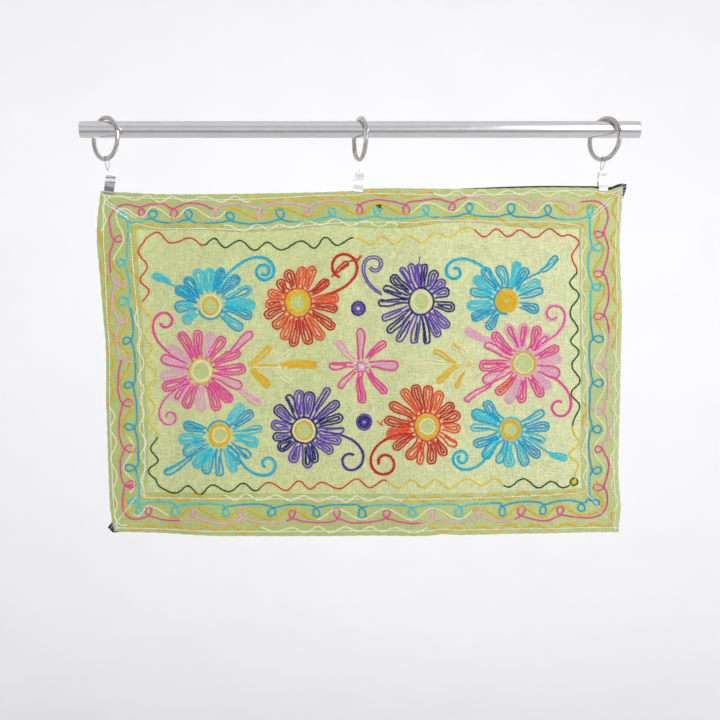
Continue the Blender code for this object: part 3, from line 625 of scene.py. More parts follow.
def lengths(path):
    """How far along a path each of its places lies."""
    return np.concatenate([[0], np.cumsum(np.hypot(*np.diff(path, axis=0).T))])


def between(path, place, stops):
    """The places of a path at the lengths in stops."""
    return np.stack([np.interp(stops, place, row) for row in np.asarray(path, float).T], 1)


# Links of chain stitch, gathered by group and thread until their meshes are made
sewn = {}
needle = np.random.default_rng(11)


def chain(group, thread, path, width=CHAIN_WIDTH, pitch=CHAIN_PITCH):
    """A row of chain stitch along a path of (x, z) places."""
    place = lengths(path)
    count = max(1, int(round(place[-1] / pitch)))
    stops = np.linspace(0, place[-1], count + 1)
    stops[1:-1] += needle.uniform(-0.12, 0.12, count - 1) * pitch
    spots = between(path, place, stops)
    spots[1:-1] += needle.normal(0, STITCH_JITTER, (count - 1, 2))
    sewn.setdefault((group, thread), []).append(np.column_stack([spots[:-1], spots[1:], np.full(count, width)]))


def chain_object(name, links, material):
    """Each link of chain stitch as a closed loop of thread that lies on the cloth."""
    start, end, width = links[:, :2], links[:, 2:4], links[:, 4]
    along = end - start
    across = unit(np.stack([-along[:, 1], along[:, 0]], 1))
    half = (width / 2 - THREAD_RADIUS) * needle.uniform(0.85, 1.15, len(links))
    flat = start[:, None] + along[:, None] * CHAIN_LINK[None, :, :1]
    flat = flat + across[:, None] * CHAIN_LINK[None, :, 1:2] * half[:, None, None]
    height = CHAIN_LINK[None, :, 2] * needle.uniform(0.85, 1.2, (len(links), 1))
    radii = THREAD_RADIUS * needle.uniform(0.9, 1.12, (len(links), 1)) * np.ones((1, len(CHAIN_LINK)))
    return tubes(name, off_face(flat, height), radii, THREAD_SIDES, material, closed=True)


def spline(points, step=1.0, closed=False):
    """A smooth path through a few points, with a place about every step."""
    points = np.asarray(points, float)
    if closed:
        around = np.concatenate([points[-1:], points, points[:2]])
    else:
        around = np.concatenate([2 * points[:1] - points[1:2], points, 2 * points[-1:] - points[-2:-1]])
    path = []
    for before, start, end, after in zip(around, around[1:], around[2:], around[3:]):
        count = max(2, int(np.hypot(*(end - start)) / step))
        t = np.linspace(0, 1, count, endpoint=False)[:, None]
        square, cube = 2 * before - 5 * start + 4 * end - after, 3 * start - before - 3 * end + after
        path.append(0.5 * (2 * start + (end - before) * t + square * t**2 + cube * t**3))
    return np.concatenate(path if closed else [*path, points[-1:]])


def petal_path(ends, width, inset, seed):
    """The outline of a club-shaped petal from root to tip, drawn in by inset on all sides."""
    root, tip = np.array(ends, float)
    length = np.hypot(*(tip - root))
    along = (tip - root) / length
    across = np.array([-along[1], along[0]])
    lean, fat, sway = np.random.default_rng(seed).uniform(-1, 1, 3)
    half = (width - CHAIN_WIDTH) / 2 * (1 + 0.08 * fat)
    tip_half = max(0.4, half - inset)
    middle = length - CHAIN_WIDTH / 2 - inset - tip_half
    s = np.linspace(1.2 * inset, middle, 9)
    rise = np.clip(s / (0.72 * length), 0, 1)
    side = np.maximum(0.4, half * (PETAL_ROOT + (1 - PETAL_ROOT) * rise * rise * (3 - 2 * rise)) - inset)
    side[-1] = tip_half
    bow = (2.0 * lean * np.sin(pi * s / length) + 1.3 * sway * np.sin(2 * pi * s / length)) * min(1, width / 9)
    turn = np.linspace(-pi / 2, pi / 2, 9)[1:-1]
    out = np.concatenate([s, middle + tip_half * np.cos(turn), s[::-1]])
    offset = np.concatenate([bow - side, tip_half * np.sin(turn) + bow[-1], (bow + side)[::-1]])
    step = np.arange(len(out))
    out, offset = out + 0.4 * wander(step, seed + 1000), offset + 0.32 * wander(step, seed + 2000)
    return root + along * out[:, None] + across * offset[:, None]


def stitch_petal(group, ends, width, form, seed):
    """The outline of a petal or a leaf, with one row of stitch inside it, or as many as fill it."""
    chain(group, form.outline, petal_path(ends, width, 0, seed))
    inside = form.inside or form.outline
    spacing = OPEN_SPACING if form.rows == 1 else FULL_SPACING
    inset, left = spacing, (width - CHAIN_WIDTH) / 2 - spacing
    for _ in range(form.rows if form.rows < 2 else MOST_ROWS):
        if left < LEAST_HALF:
            break
        chain(group, inside, petal_path(ends, width, inset, seed))
        inset, left = inset + spacing, left - spacing
    if form.rows and -0.6 < left < LEAST_HALF:
        root, tip = np.array(ends, float)
        short = 1 - 0.5 * width / np.hypot(*(tip - root))
        chain(group, inside, root + (tip - root) * np.array([[0.25], [short]]))


def stitch_round(group, thread, middle, radius, start=0, end=360, seed=0):
    turn = np.radians(np.linspace(start, end, max(8, int(radius * 5))))
    uneven = radius * (1 + 0.035 * wander(turn, seed, (2, 3)))
    path = [middle.x + uneven * np.cos(turn) * 0.97, middle.z + uneven * np.sin(turn) * 1.02]
    chain(group, thread, np.stack(path, 1))


def stitch_flowers():
    for number, flower in enumerate(FLOWERS):
        for row, (radius, thread) in enumerate(flower.rings):
            stitch_round("flowers", thread, flower, radius, seed=number * 7 + row)
        for radius, start, end, thread in flower.collars:
            stitch_round("flowers", thread, flower, radius, start, end, number * 7)
        inner = max(ring[0] for ring in (*flower.rings, *flower.collars)) + COLLAR_CLEARANCE
        middle = np.array([flower.x, flower.z], float)
        for k, petal in enumerate(table(Petal, flower.petals)):
            toward = np.array([cos(radians(petal.angle)), sin(radians(petal.angle))])
            ends = middle + toward * inner, middle + toward * (petal.reach + PETAL_GROWTH)
            stitch_petal("flowers", ends, petal.width + PETAL_GROWTH, petal, number * 40 + k)


def stitch_tendrils():
    for number, row in enumerate(TENDRILS):
        start = np.array([row.x - row.curl_x, row.z - row.curl_z], float)
        far, first = np.hypot(*start), atan2(start[1], start[0])
        turned = np.linspace(0, 1, 90)
        sweep = np.abs(row.turn) * turned
        curl = row.radius * (1 - (1 - row.closing) * turned)
        radius = curl + (far - row.radius) * np.exp(-sweep / TENDRIL_EASE)
        angle = first + np.radians(row.turn) * turned
        radius = radius * (1 + 0.03 * wander(angle, 300 + number))
        for inward, thread in ((0, row.thread), (row.apart, row.second)):
            out = radius - inward
            path = np.stack([row.curl_x + out * np.cos(angle), row.curl_z + out * np.sin(angle)], 1)
            chain("tendrils", thread, path, row.width)


def stitch_small_forms():
    for k, leaf in enumerate(LEAVES):
        stitch_petal("leaves", ((leaf.x, leaf.z), (leaf.tip_x, leaf.tip_z)), leaf.width, leaf, 600 + k)
    for stem in STEMS:
        chain("leaves", stem.thread, [(stem.x, stem.z), (stem.end_x, stem.end_z)])
    for k, dot in enumerate(DOTS):
        for radius, thread in dot.rounds:
            stitch_round("leaves", thread, dot, radius, seed=700 + k)
    for row in SCRIBBLES:
        turn = np.linspace(0, 2 * pi, 120) + radians(row.start)
        whirl = turn * (1 - row.loops)
        x = row.x + row.size * np.cos(turn) + row.loop * np.cos(whirl)
        z = row.z + row.size * np.sin(turn) + row.loop * np.sin(whirl)
        chain("leaves", row.thread, np.stack([x, z], 1), TAIL_WIDTH, CURVE_PITCH)
    for row in TAILS:
        chain("leaves", row.thread, [(row.x, row.z), (row.end_x, row.end_z)], TAIL_WIDTH)


class Round:
    """A closed path round the cloth, with its length, its inward direction and its place by side."""

    def __init__(self, points, rounds, rounding):
        closed = np.concatenate([points, points[:1]])
        place = lengths(closed)
        self.length = place[-1]
        count = int(self.length / ROUND_STEP)
        self.s = np.arange(count) * self.length / count
        window = np.hanning(max(3, int(rounding / ROUND_STEP) * 2 + 1))
        window /= window.sum()
        pad = len(window) // 2
        self.x, self.z = (
            np.convolve(np.concatenate([row[-pad:], row, row[:pad]]), window, "valid")
            for row in between(closed, place, self.s).T
        )
        self.rounds = np.interp(self.s, place, np.concatenate([rounds, [4.0]]))
        along = unit(np.stack([np.roll(row, -1) - np.roll(row, 1) for row in (self.x, self.z)], 1))
        self.inward = np.stack([along[:, 1], -along[:, 0]], 1)

    def at(self, s, inward):
        """Places at lengths s along the path, moved inward."""
        spots = []
        for row, normal in zip((self.x, self.z), self.inward.T):
            base, toward = (np.interp(s, self.s, values, period=self.length) for values in (row, normal))
            spots.append(base + inward * toward)
        return np.stack(spots, 1)

    def find(self, places):
        """The lengths at which the path passes places along its sides, given side by side."""
        found = []
        for side, row in enumerate(places):
            for along in row:
                away = np.abs((self.x, self.z)[side % 2] - along) + 1000 * (np.floor(self.rounds) != side)
                found.append(self.s[np.argmin(away)])
        return found


def border_round(depth, rounding):
    share = np.linspace(0, 1, 300, endpoint=False)
    points = [np.stack(on_border(side, share, depth), 1) for side in SIDES]
    return Round(np.concatenate(points), np.concatenate([number + share for number in range(4)]), rounding)


def stitch_spans(group, base, s, inward, spans, width):
    """Chain stitch along a path about a round, changing thread where the spans say."""
    path = base.at(s, inward)
    starts = [np.interp(start, base.rounds, base.s) for start, _ in spans]
    number = np.searchsorted(starts, np.maximum.accumulate(s), side="right") - 1
    for k in np.unique(number):
        stretch = np.flatnonzero(number == k)
        stretch = np.append(stretch, min(stretch[-1] + 1, len(path) - 1))
        chain(group, spans[min(max(k, 0), len(spans) - 1)][1], path[stretch], width, CURVE_PITCH)


def stitch_wave(group, base, spans, size, period, width, seed):
    """A wavy row. It flattens as it rounds the corners."""
    s = np.linspace(0, base.length, int(base.length))
    turn = 2 * pi * s / base.length
    phase = round(base.length / period) * turn + 1.1 * wander(turn, seed, (9, 14, 23))
    corner = np.abs(np.interp(s, base.s, (base.rounds + 0.5) % 1 - 0.5)) * base.length / 4
    calm = 1 - 0.75 * np.exp(-((corner / 14) ** 2))
    inward = size * calm * (1 + 0.3 * wander(turn, seed + 1, (17, 26))) * np.cos(phase)
    inward = inward + 0.8 * wander(turn, seed + 2, (5, 11))
    stitch_spans(group, base, s, inward, spans, width)


def stitch_scallops(base, loops, spans, belly, node, far, wide, seed):
    """A scalloped row whose thread loops over itself. Depths are inward from the base, in millimetres."""
    random = np.random.default_rng(seed)
    nodes = sorted(base.find(loops))
    rows = []
    for k, s in enumerate(nodes):
        before = nodes[k - 1] - (base.length if k == 0 else 0)
        for share, sag in ((0.36, 1.0), (0.68, 0.85)):
            depth = node + (belly - node) * sag * random.uniform(0.8, 1.15)
            rows.append((before + share * (s - before), depth))
        size, tall = random.uniform(0.85, 1.15, 2)
        lean = random.uniform(-0.3, 0.2)
        for across, down in LOOP:
            rows.append((s + (across + lean * down) * wide * size, node + down * (far - node) * tall))
    rows = np.array(rows)
    path = spline(np.concatenate([rows, rows[:1] + (base.length, 0)]), 0.8)
    stitch_spans("border", base, path[:, 0], path[:, 1], spans, SCALLOP_WIDTH)


def stitch_wide_wave(base, deep, shallow, spans, low, high, width):
    """A wave that dips round the pink loops and rises round the blue ones."""
    turns = sorted([(s, low) for s in base.find(deep)] + [(s, high) for s in base.find(shallow)])
    turns = [(turns[-1][0] - base.length, turns[-1][1]), *turns, (turns[0][0] + base.length, turns[0][1])]
    places, depths = np.array(turns).T
    s = np.linspace(0, base.length, int(base.length))
    i = np.clip(np.searchsorted(places, s, side="right") - 1, 0, len(places) - 2)
    t = (s - places[i]) / np.maximum(places[i + 1] - places[i], 1e-6)
    inward = depths[i] + (depths[i + 1] - depths[i]) * (1 - np.cos(pi * t)) / 2
    stitch_spans("border", base, s, inward, spans, width)


def stitch_borders():
    stitch_wave("border", border_round(0.15, 9), OUTER_WAVE, size=3.0, period=33, width=2.3, seed=41)
    middle = border_round(0.5, 26)
    stitch_scallops(middle, PINK_LOOPS, PINK_SCALLOPS, belly=-9.6, node=-3.6, far=7.2, wide=7.6, seed=51)
    stitch_wide_wave(middle, PINK_LOOPS, BLUE_LOOPS, WIDE_WAVE, low=7.2, high=-5.2, width=2.3)
    stitch_scallops(middle, BLUE_LOOPS, BLUE_SCALLOPS, belly=12.8, node=8.6, far=-2.2, wide=8.2, seed=61)
    stitch_wave("border", border_round(0.9, 8), INNER_WAVE, size=3.1, period=32, width=2.3, seed=71)
    points = spline(FIELD_FRAME, 4, closed=True)
    corners = [np.argmin(np.hypot(*(points - FIELD_FRAME[k]).T)) for k in FIELD_CORNERS]
    rounds = np.interp(np.arange(len(points)), [*corners, len(points)], range(5))
    stitch_wave("field", Round(points, rounds, 9), FIELD_WAVE, size=4.8, period=33.5, width=2.0, seed=81)


class Graph:
    """Short calls that build shader nodes."""

    def __init__(self, tree):
        self.tree = tree

    def set(self, node, socket, value):
        if isinstance(value, bpy.types.NodeSocket):
            self.tree.links.new(value, node.inputs[socket])
        else:
            node.inputs[socket].default_value = value

    def add(self, kind, *values, settings=(), **inputs):
        """A node with its settings, its first inputs in order and others by name."""
        node = self.tree.nodes.new(f"ShaderNode{kind}")
        for name, value in settings:
            setattr(node, name, value)
        for socket, value in enumerate(values):
            self.set(node, socket, value)
        for name, value in inputs.items():
            self.set(node, name.replace("_", " "), value)
        return node

    def math(self, operation, *values, kind="Math"):
        return self.add(kind, *values, settings=[("operation", operation)]).outputs[0]

    def plus(self, first, second):
        return self.math("ADD", first, second)

    def times(self, first, *others):
        for other in others:
            first = self.math("MULTIPLY", first, other)
        return first

    def span(self, value, low, high, to_low=0.0, to_high=1.0):
        return self.add("MapRange", value, low, high, to_low, to_high).outputs[0]

    def split(self, vector):
        return self.add("SeparateXYZ", vector).outputs


class Surface(Graph):
    """A material with one principled shader."""

    def __init__(self, name):
        self.material = bpy.data.materials.new(name)
        self.material.use_nodes = True
        super().__init__(self.material.node_tree)
        self.shader = self.tree.nodes["Principled BSDF"]

    def place(self):
        """The object's own coordinates in millimetres, as one vector."""
        return self.stretch(self.add("TexCoord").outputs["Object"], (1000, 1000, 1000))

    def stretch(self, vector, scale):
        return self.add("Mapping", vector, Scale=scale).outputs[0]

    def noise(self, vector, scale, detail=2.0, roughness=0.5, output=0):
        node = self.add("TexNoise", Vector=vector, Scale=scale, Detail=detail, Roughness=roughness)
        return node.outputs[output]

    def mix(self, share, first, second):
        node = self.add("Mix", settings=[("data_type", "RGBA")])
        for socket, value in ((0, share), (6, first), (7, second)):
            self.set(node, socket, value)
        return node.outputs[2]

    def bump(self, height, strength, distance):
        node = self.add("Bump", Height=height, Strength=strength, Distance=distance)
        self.set(self.shader, "Normal", node.outputs[0])

    def finish(self, **inputs):
        for name, value in inputs.items():
            self.set(self.shader, name.replace("_", " "), value)
        return self.material


def linear(colour, factor=1.0):
    """A colour of 0 to 255 as the light it gives, with its opacity."""
    parts = np.array(colour) / 255
    light = np.where(parts <= 0.04045, parts / 12.92, ((parts + 0.055) / 1.055) ** 2.4)
    return (*np.minimum(1, factor * light).tolist(), 1)


def cloth_material(name, colour, pitch, slub, mottle, fleck, discs=(), painted_haze=None, spread=0.25, rough=0.9):
    """A plain weave with slubs: some yarns are thicker and lighter than others. Discs are deeper in colour.
    The cloth is painted lighter and paler towards the viewer's right: painted haze of the light from that side."""
    nodes = Surface(name)
    place = nodes.place()
    wobble = nodes.noise(place, 0.12, 1.0, output=1)
    bent = nodes.math("MULTIPLY_ADD", wobble, (0.9, 0.9, 0.9), place, kind="VectorMath")
    x, _, z = nodes.split(bent)
    weave = nodes.times(*(nodes.math("SINE", nodes.times(axis, pi / pitch)) for axis in (x, z)))
    slubs = nodes.plus(*(
        nodes.span(nodes.noise(nodes.stretch(place, scale), 1.0, 3.0, 0.6), 0.3, 0.7) for scale in SLUB_SCALES
    ))
    cloudy = nodes.noise(place, 0.045, 3.0)
    grain = nodes.noise(place, 0.8, 2.0)
    flecks = nodes.span(nodes.noise(nodes.stretch(place, (1 / 1.6, 1, 1 / 1.6)), 1.0, 1.0), 0.70, 0.82)
    share = 0.0
    for value, middle, size in (
        (slubs, 1.0, slub), (cloudy, 0.5, mottle), (grain, 0.5, 0.9), (weave, 0.0, 0.12), (flecks, 0.0, -fleck),
    ):
        share = nodes.plus(nodes.times(nodes.math("SUBTRACT", value, middle), size), share)
    low, high = linear(colour, 1 - spread), linear(colour, 1 + spread)
    # Painted haze: the colour goes lighter and paler towards the right, where the light comes from
    if painted_haze:
        haze_share = nodes.span(nodes.split(place)[0], *PAINTED_HAZE_FROM_TO, 0.0, 0.5)
        low = nodes.mix(haze_share, low, linear(painted_haze, 1 - spread))
        high = nodes.mix(haze_share, high, linear(painted_haze, 1 + spread))
    tone = nodes.mix(nodes.span(share, -0.5, 0.5), low, high)
    for disc_x, disc_z, radius in discs:
        flat, middle = nodes.stretch(place, (1, 0, 1)), (disc_x, 0, disc_z)
        away = nodes.add("VectorMath", flat, middle, settings=[("operation", "DISTANCE")]).outputs["Value"]
        disc = nodes.span(away, radius + 1.5, radius - 1.5, 0.0, DISC_DEPTH)
        tone = nodes.mix(disc, tone, linear(DISC_COLOUR))
    nodes.bump(nodes.plus(nodes.times(weave, 0.5), nodes.times(slubs, 0.6)), 0.4, 0.0003)
    return nodes.finish(Base_Color=tone, Roughness=rough, Sheen_Weight=0.1, Sheen_Roughness=0.6)


def thread_material(name, colour):
    """Soft lustrous stranded thread."""
    nodes = Surface(f"thread_{name}")
    place = nodes.place()
    shade = nodes.noise(place, 0.6, 2.0)
    fibre = nodes.noise(place, 3.2, 2.0, 0.6)
    share = nodes.plus(nodes.times(shade, 0.7), nodes.times(fibre, 0.3))
    tone = nodes.mix(nodes.span(share, 0.36, 0.64), linear(colour, 0.84), linear(colour, 1.36))
    nodes.bump(fibre, 0.5, 0.00015)
    return nodes.finish(
        Base_Color=tone, Roughness=0.65, Sheen_Weight=0.06, Sheen_Roughness=0.4, Specular_IOR_Level=0.22
    )


def metal_material(name, colour, rough, along, relief, metallic=1.0, highlight_above=None):
    """Steel brushed along one direction: the rod's length, or none. Less than metallic is a pale plating.
    Above a height a painted highlight can lie on it, with a painted line of shade across it."""
    nodes = Surface(name)
    place = nodes.place()
    scratches = nodes.noise(nodes.stretch(place, along), 1.0, 3.0, 0.6)
    smudges = nodes.noise(place, 0.08, 2.0)
    tone = nodes.mix(smudges, linear(colour, 0.94), linear(colour, 1.05))
    # A painted highlight above the given height, broken by a painted line of shade
    if highlight_above:
        z = nodes.split(place)[2]
        line = nodes.span(nodes.math("ABSOLUTE", nodes.math("SUBTRACT", z, highlight_above + 4.2)), 0.4, 0.9)
        pale = nodes.times(nodes.span(z, highlight_above - 0.5, highlight_above + 0.3), line)
        tone = nodes.mix(pale, tone, linear(PAINTED_HIGHLIGHT))
    polish = nodes.plus(nodes.span(scratches, 0.3, 0.7, rough - 0.05, rough + 0.05), nodes.times(smudges, 0.04))
    nodes.bump(scratches, relief, 0.00004)
    return nodes.finish(Base_Color=tone, Roughness=polish, Metallic=metallic)


def steps(length, pitch, dense=()):
    """Even places from 0 to 1, closer near both ends for a rounded edge, and along each dense stretch."""
    count = max(2, round((length - 2 * EDGE_ROUNDING) / pitch))
    middle = np.linspace(EDGE_ROUNDING, length - EDGE_ROUNDING, count + 1)
    for low, high in dense:
        close = np.arange(low, high, DENSE_PITCH)
        middle = np.sort(np.concatenate([middle[(middle < low - 0.4) | (middle > close[-1] + 0.4)], close]))
    return np.concatenate([[0, EDGE_STEP], middle, [length - EDGE_STEP, length]]) / length


def to_edge(u, v, length, width):
    """How far each place of a grid lies from the cloth's nearest edge."""
    return np.minimum(np.minimum(u, 1 - u) * length, np.minimum(v, 1 - v) * width)


def rounded(distance):
    """How far a cloth's face falls back near its edge."""
    return EDGE_DROP * np.clip(1 - distance / EDGE_ROUNDING, 0, 1) ** 2


def front_sheet(name, x, z, edge, lift, material):
    near = fold(x, z) - (CLOTH_PARTING / 2 + FRONT_CLOTH + lift) + ripple(x, z) + rounded(edge)
    far = fold(x, z) - CLOTH_PARTING / 2 - 0.1 + 0.3 * ripple(x, z)
    return sheet_object(name, x, z, near, far, material)


def make_field(material):
    """The middle cloth, within the inner corners of the border's four sides."""
    u, v = np.meshgrid(steps(FIELD_LENGTH, 3.4, FIELD_DENSE), steps(FIELD_WIDTH, 3.6))
    top, right, bottom, left = (side.inner for side in SIDES)
    top_x, low_x = blend(*top, u), blend(*bottom[::-1], u)
    left_z, right_z = blend(*left[::-1], v), blend(*right, v)
    x = blend(top_x, low_x, v)
    x = x + (1 - u) * (LEFT_SEAM(left_z) - blend(top[0], bottom[1], v))
    x = x + u * (RIGHT_SEAM(right_z) - blend(top[1], bottom[0], v))
    z = blend(TOP_SEAM(top_x), BOTTOM_SEAM(low_x), v)
    return front_sheet("field_cloth_panel", x, z, to_edge(u, v, FIELD_LENGTH, FIELD_WIDTH), 0.0, material)


def make_border(side, material):
    length = abs(side.outer[1] - side.outer[0])
    u, v = np.meshgrid(steps(length, 3.2, BORDER_DENSE.get(side.name, ())), steps(BORDER_WIDTH, 3.0))
    x, z = on_border(side, u, v)
    ragged = 0.22 * np.sin(3.1 * (x + z) / 7) * np.clip(1 - v * BORDER_WIDTH / 4, 0, 1)
    x, z = (x, z + ragged) if side.axis == 0 else (x + ragged, z)
    edge = to_edge(u, v, length, BORDER_WIDTH)
    return front_sheet(f"border_cloth_{side.name}", x, z, edge, BORDER_LIFT, material)


def backing_x(u, z):
    left, right = LEFT_EDGE(z) - BACKING_LEFT(z), RIGHT_EDGE(z) + BACKING_RIGHT(z)
    return left + (right - left) * u


def make_backing(material):
    v, u = np.meshgrid(steps(BACKING_WIDTH, 5.0), steps(BACKING_LENGTH, 5.0), indexing="ij")
    x = backing_x(u, TOP_EDGE_Z + (BOTTOM_EDGE_Z - TOP_EDGE_Z) * v)
    top, low = TOP_EDGE(x) + BACKING_TOP(x), BOTTOM_EDGE(x) - BACKING_BOTTOM(x)
    z = top + (low - top) * v
    x = backing_x(u, z)
    edge = to_edge(u, v, BACKING_LENGTH, BACKING_WIDTH)
    near = fold(x, z) + CLOTH_PARTING / 2 + 0.5 * ripple(x, z) * np.clip(edge / 8, 0, 1)
    far = back_face(x, z) - rounded(edge)
    return sheet_object("backing_cloth", x, z, near, np.maximum(far, near + 0.4), material)


def running_stitch(paths, name, material, surface=face, side=1):
    """Machine stitches along paths on a face: short dashes that dip into the cloth at both ends. Side is 1 in
    front and -1 at the back."""
    random = np.random.default_rng(5)
    ends = []
    for path in paths:
        place = lengths(path)
        count = int(place[-1] / (STITCH_LENGTH + STITCH_GAP))
        starts = np.arange(count) * (STITCH_LENGTH + STITCH_GAP) + random.uniform(-0.15, 0.15, count)
        ends.append([between(path, place, starts + offset) for offset in (0, STITCH_LENGTH)])
    first, last = (np.concatenate(rows) for rows in zip(*ends))
    flat = first[:, None] + (last - first)[:, None] * STITCH_ARCH[None, :, :1]
    centres = off_face(flat, side * STITCH_ARCH[None, :, 1], surface)
    return tubes(name, centres, STITCH_RADIUS * np.array([0.6, 1, 1, 0.6]), 4, material, closed=False)


def make_topstitching(material):
    paths = []
    for depth, rows, inward in ((0, OUTER_STITCH, 1), (1, INNER_STITCH, -1)):
        base = border_round(depth, 2)
        paths.append(base.at(base.s, inward * Line(*rows)(base.rounds)))
    paths += [[(row.x, row.z), (row.end_x, row.end_z)] for row in MITRE_STITCHES]
    return (
        running_stitch(paths, "topstitching_white", material),
        running_stitch(paths[:1], "topstitching_back", material, back_face, -1),
    )


def make_loose_threads(material):
    """Frayed ends at the corners."""
    t = np.linspace(0, 1, 14)
    centres = []
    for k, row in enumerate(LOOSE_THREADS):
        x = row.x + row.reach_x * t + row.curl * np.sin(2.4 * pi * t + k)
        z = row.z + row.reach_z * t + row.curl * np.cos(2.1 * pi * t + k) - row.curl * cos(k)
        y = face(x, z) - 0.5 - 1.6 * np.sin(pi * t) * (1 + 0.2 * k)
        centres.append(np.stack([x, y, z], -1))
    return tubes("loose_threads", np.array(centres), 0.2 * (1 - 0.4 * t), 5, material, closed=False)


def make_spring(hanger, material):
    """The coil spring round a clip's pin, with its two arms against the plates. It is laid out in the clip's
    own frame at its jaw: z up from the jaw, y away from the viewer."""
    x, z = hanger.jaw_x, hanger.jaw_z
    near, far = float(fold(x - CLIP_HALF, z)), float(fold(x + CLIP_HALF, z))
    yaw = Matrix.Rotation(atan2(far - near, 2 * CLIP_HALF), 3, "Z")
    turned = np.array(yaw @ Matrix.Rotation(radians(hanger.clip_lean), 3, "Y"))
    turn = np.linspace(0, 2 * pi * SPRING_TURNS, 60)
    up, out = SPRING_RADIUS * np.sin(turn), SPRING_RADIUS * np.cos(turn)
    coil = np.stack([-2.4 + 4.8 * turn / turn[-1], HINGE_Y + out, HINGE_Z + up], 1)
    arm_back = [(-2.5, 1.9, HINGE_Z + 6.0), (-2.5, 1.5, HINGE_Z + 3)]
    arm_front = [(2.5, -2.6, HINGE_Z + 3), (2.5, -3.6, HINGE_Z + 6.0)]
    path = np.concatenate([arm_back, coil, arm_front])
    centres = (np.array([x, (near + far) / 2, z]) + path @ turned.T)[None]
    name = f"clip_spring_{hanger.name}"
    return tubes(name, centres, np.full(len(path), SPRING_WIRE), 6, material, closed=False)


def area_light(name, place, aim, size, power, spread=180, mirrored=True, colour=(1, 1, 1)):
    light = bpy.data.lights.new(name, "AREA")
    light.shape = "RECTANGLE"
    light.size, light.size_y = size
    light.energy = power
    light.color = colour
    light.spread = radians(spread)
    lamp = place_object(name, light)
    lamp.location = place
    lamp.rotation_euler = (Vector(aim) - Vector(place)).to_track_quat("-Z", "Y").to_euler()
    lamp.visible_camera = False
    lamp.visible_glossy = mirrored


def make_sweep(name, start_y, wall_y, radius, material):
    """A floor that curves up into a backdrop."""
    forward = np.sign(wall_y)
    profile = [(start_y, FLOOR_Z)]
    for turn in np.linspace(0, pi / 2, 13):
        profile.append((wall_y - forward * radius * (1 - sin(turn)), FLOOR_Z + radius * (1 - cos(turn))))
    profile.append((wall_y, BACKDROP_TOP))
    points = [(x, y, z) for y, z in profile for x in (-BACKDROP_HALF * forward, BACKDROP_HALF * forward)]
    faces = np.array([(2 * k, 2 * k + 1, 2 * k + 3, 2 * k + 2) for k in range(len(profile) - 1)])
    thing = mesh_object(name, np.array(points), faces, material, body=None)
    return thing


def make_stage():
    """Pale paper on the floor and far behind, and in front too, where only a view from the back sees it."""
    nodes = Surface("studio_paper")
    shade = nodes.noise(nodes.place(), 0.004, 2.0)
    tone = nodes.mix(shade, linear((241, 240, 240)), linear((247, 246, 245)))
    paper = nodes.finish(Base_Color=tone, Roughness=0.95)
    make_sweep("studio_sweep", -6000.0, 2500.0, 900.0, paper)
    front = make_sweep("studio_front", -6000.0, -9000.0, 2500.0, paper)
    front.visible_diffuse = front.visible_glossy = front.visible_shadow = False


def make_light():
    """A pale studio: a wide bright band in front, brighter to the right, between ceiling and floor."""
    world = bpy.data.worlds.new("studio")
    bpy.context.scene.world = world
    world.use_nodes = True
    graph = Graph(world.node_tree)
    span, times, plus = graph.span, graph.times, graph.plus
    x, y, z = graph.split(graph.add("TexCoord").outputs["Generated"])
    aside = graph.math("ABSOLUTE", x)
    band = times(span(z, -0.45, -0.42), span(z, 0.33, 0.28), span(y, 0.1, -0.3), span(x, 0.03, 0.2, 0.16, 0.56))
    sides = times(span(aside, 0.6, 0.72, 0.0, 0.6), span(y, 0.3, 0.1), span(z, 0.5, 0.4))
    sides = plus(sides, span(aside, 0.28, 0.42, 0.61, 0.34))
    ceiling = plus(span(z, 0.6, 0.68, 0.0, 0.22), sides)
    back = world.node_tree.nodes["Background"]
    graph.set(back, "Color", (0.94, 0.95, 1.0, 1))
    graph.set(back, "Strength", plus(band, ceiling))
    area_light("key", (1.15, -2.3, 0.5), (0.1, 0, -0.27), (1.2, 2.0), power=33.5, colour=(1.0, 0.99, 0.97))
    area_light("wall", (0, 0.6, 0.0), (0, 2.5, 0.0), (4.0, 1.7), power=10.2, spread=125, mirrored=False)
    area_light("behind", (-1.6, 1.0, 0.1), (0, 0, -0.27), (0.5, 0.5), power=3, spread=36, mirrored=False)


def reflection_card(name, half_x, y, low, high, colour, glow):
    """A card in front for the polished metal to mirror. No view shows it."""
    points = np.array([(-half_x, y, low), (half_x, y, low), (half_x, y, high), (-half_x, y, high)])
    card = Surface(name).finish(
        Base_Color=linear(colour), Roughness=0.9, Emission_Color=(0.86, 0.9, 1.0, 1), Emission_Strength=glow
    )
    thing = mesh_object(name, points, np.array([(0, 1, 2, 3)]), card, body=None)
    thing.visible_camera = False


def make_reflection_cards():
    """The rod mirrors a bright field in front, with a darker line under it."""
    reflection_card("white_card", 3000, -2400, -1140, -380, (10, 10, 10), 0.84)
    reflection_card("grey_card", 1500, -1200, -1120, -560, (190, 189, 194), 0.0)


def make_camera():
    """The photograph's view: level, square to the cloth, from where the photo's frame is FRAME_WIDTH wide."""
    data = bpy.data.cameras.new("camera")
    data.sensor_width = SENSOR_WIDTH
    data.lens = SENSOR_WIDTH * CAMERA_AWAY / FRAME_WIDTH
    camera = place_object("camera", data)
    camera.location = (0, -CAMERA_AWAY, -0.2718)
    camera.rotation_euler = (radians(90), 0, 0)
    bpy.context.scene.camera = camera
    bpy.context.scene.view_settings.view_transform = "Standard"


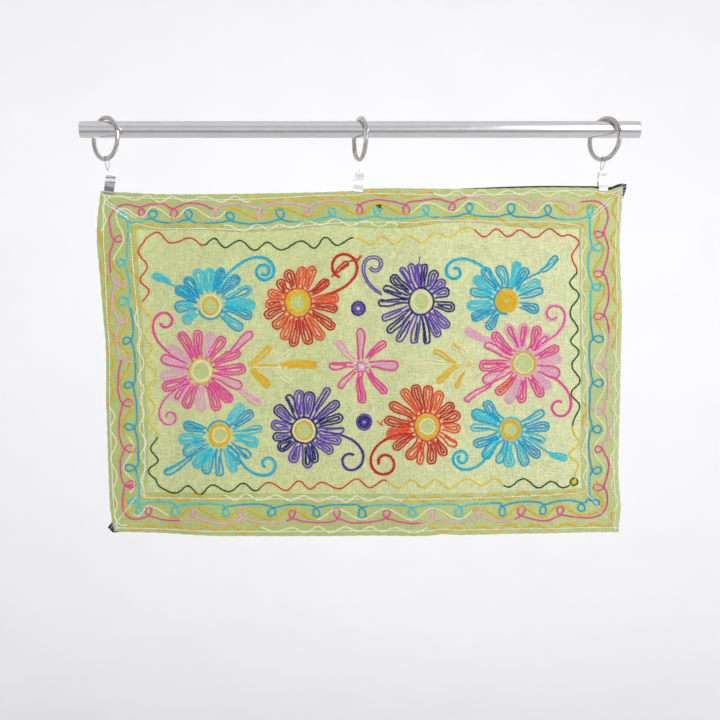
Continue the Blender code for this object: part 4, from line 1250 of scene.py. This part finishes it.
def dress_metal():
    """Steel on the rod, the rings and links, and the clips. Returns the clips' own."""
    upright = (1 / 0.8, 1 / 0.8, 1 / 3)
    rod = metal_material("brushed_rod", (226, 224, 222), rough=0.11, along=(1 / 220, 1 / 0.4, 1 / 0.4), relief=0.03)
    ring = metal_material("satin_ring", (206, 201, 197), rough=0.13, along=(1 / 1.5,) * 3, relief=0.06)
    clip = metal_material("bright_clip", (250, 249, 247), rough=0.3, along=upright, relief=0.1, metallic=0.55)
    # The left clip's front plate is painted darker grey as painted shade, with a painted highlight along its top
    shaded_clip = metal_material("painted_shade_clip", (150, 149, 152), rough=0.34, along=upright, relief=0.1, highlight_above=-61.5)
    kinds = (("rod", rod), ("ring", ring), ("link", ring), ("clip", clip), ("clip_left_front", shaded_clip))
    for name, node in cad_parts.items():
        for part, material in kinds:
            if name.startswith(part):
                node.material_slots[0].material = material
    return clip


def make_cloths():
    discs = [(flower.x, flower.z, max(ring[0] for ring in flower.rings)) for flower in FLOWERS]
    # The lighter, paler colours given to both cloths below are painted haze towards the right
    field_cloth = cloth_material(
        "field_weave", (201, 208, 147), pitch=0.8, slub=0.72, mottle=0.45, fleck=0.6, discs=discs,
        painted_haze=(229, 233, 192),
    )
    border_cloth = cloth_material(
        "border_weave", (178, 191, 117), pitch=0.6, slub=0.42, mottle=0.5, fleck=0.2, painted_haze=(202, 213, 152)
    )
    navy_cloth = cloth_material(
        "navy_weave", (24, 26, 48), pitch=0.6, slub=0.6, mottle=0.9, fleck=0.0, spread=0.7, rough=0.6
    )

    field = make_field(field_cloth)
    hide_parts("field_panel")
    for side in SIDES:
        strip = make_border(side, border_cloth)
        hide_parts(f"border_{side.name}")
    backing = make_backing(navy_cloth)
    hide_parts("backing")


def make_threads():
    materials = {name: thread_material(name, colour) for name, colour in THREADS.items()}
    stitch_flowers()
    stitch_tendrils()
    stitch_small_forms()
    stitch_borders()
    for (group, thread), rows in sorted(sewn.items()):
        chain_object(f"{group}_{thread}", np.concatenate(rows), materials[thread])
    for piece in make_topstitching(materials["white"]):
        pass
    make_loose_threads(materials["white"])


def main():
    make_camera()
    make_light()
    make_stage()
    make_reflection_cards()
    clip_steel = dress_metal()
    for hanger in HANGERS:
        make_spring(hanger, clip_steel)
    make_cloths()
    make_threads()


main()
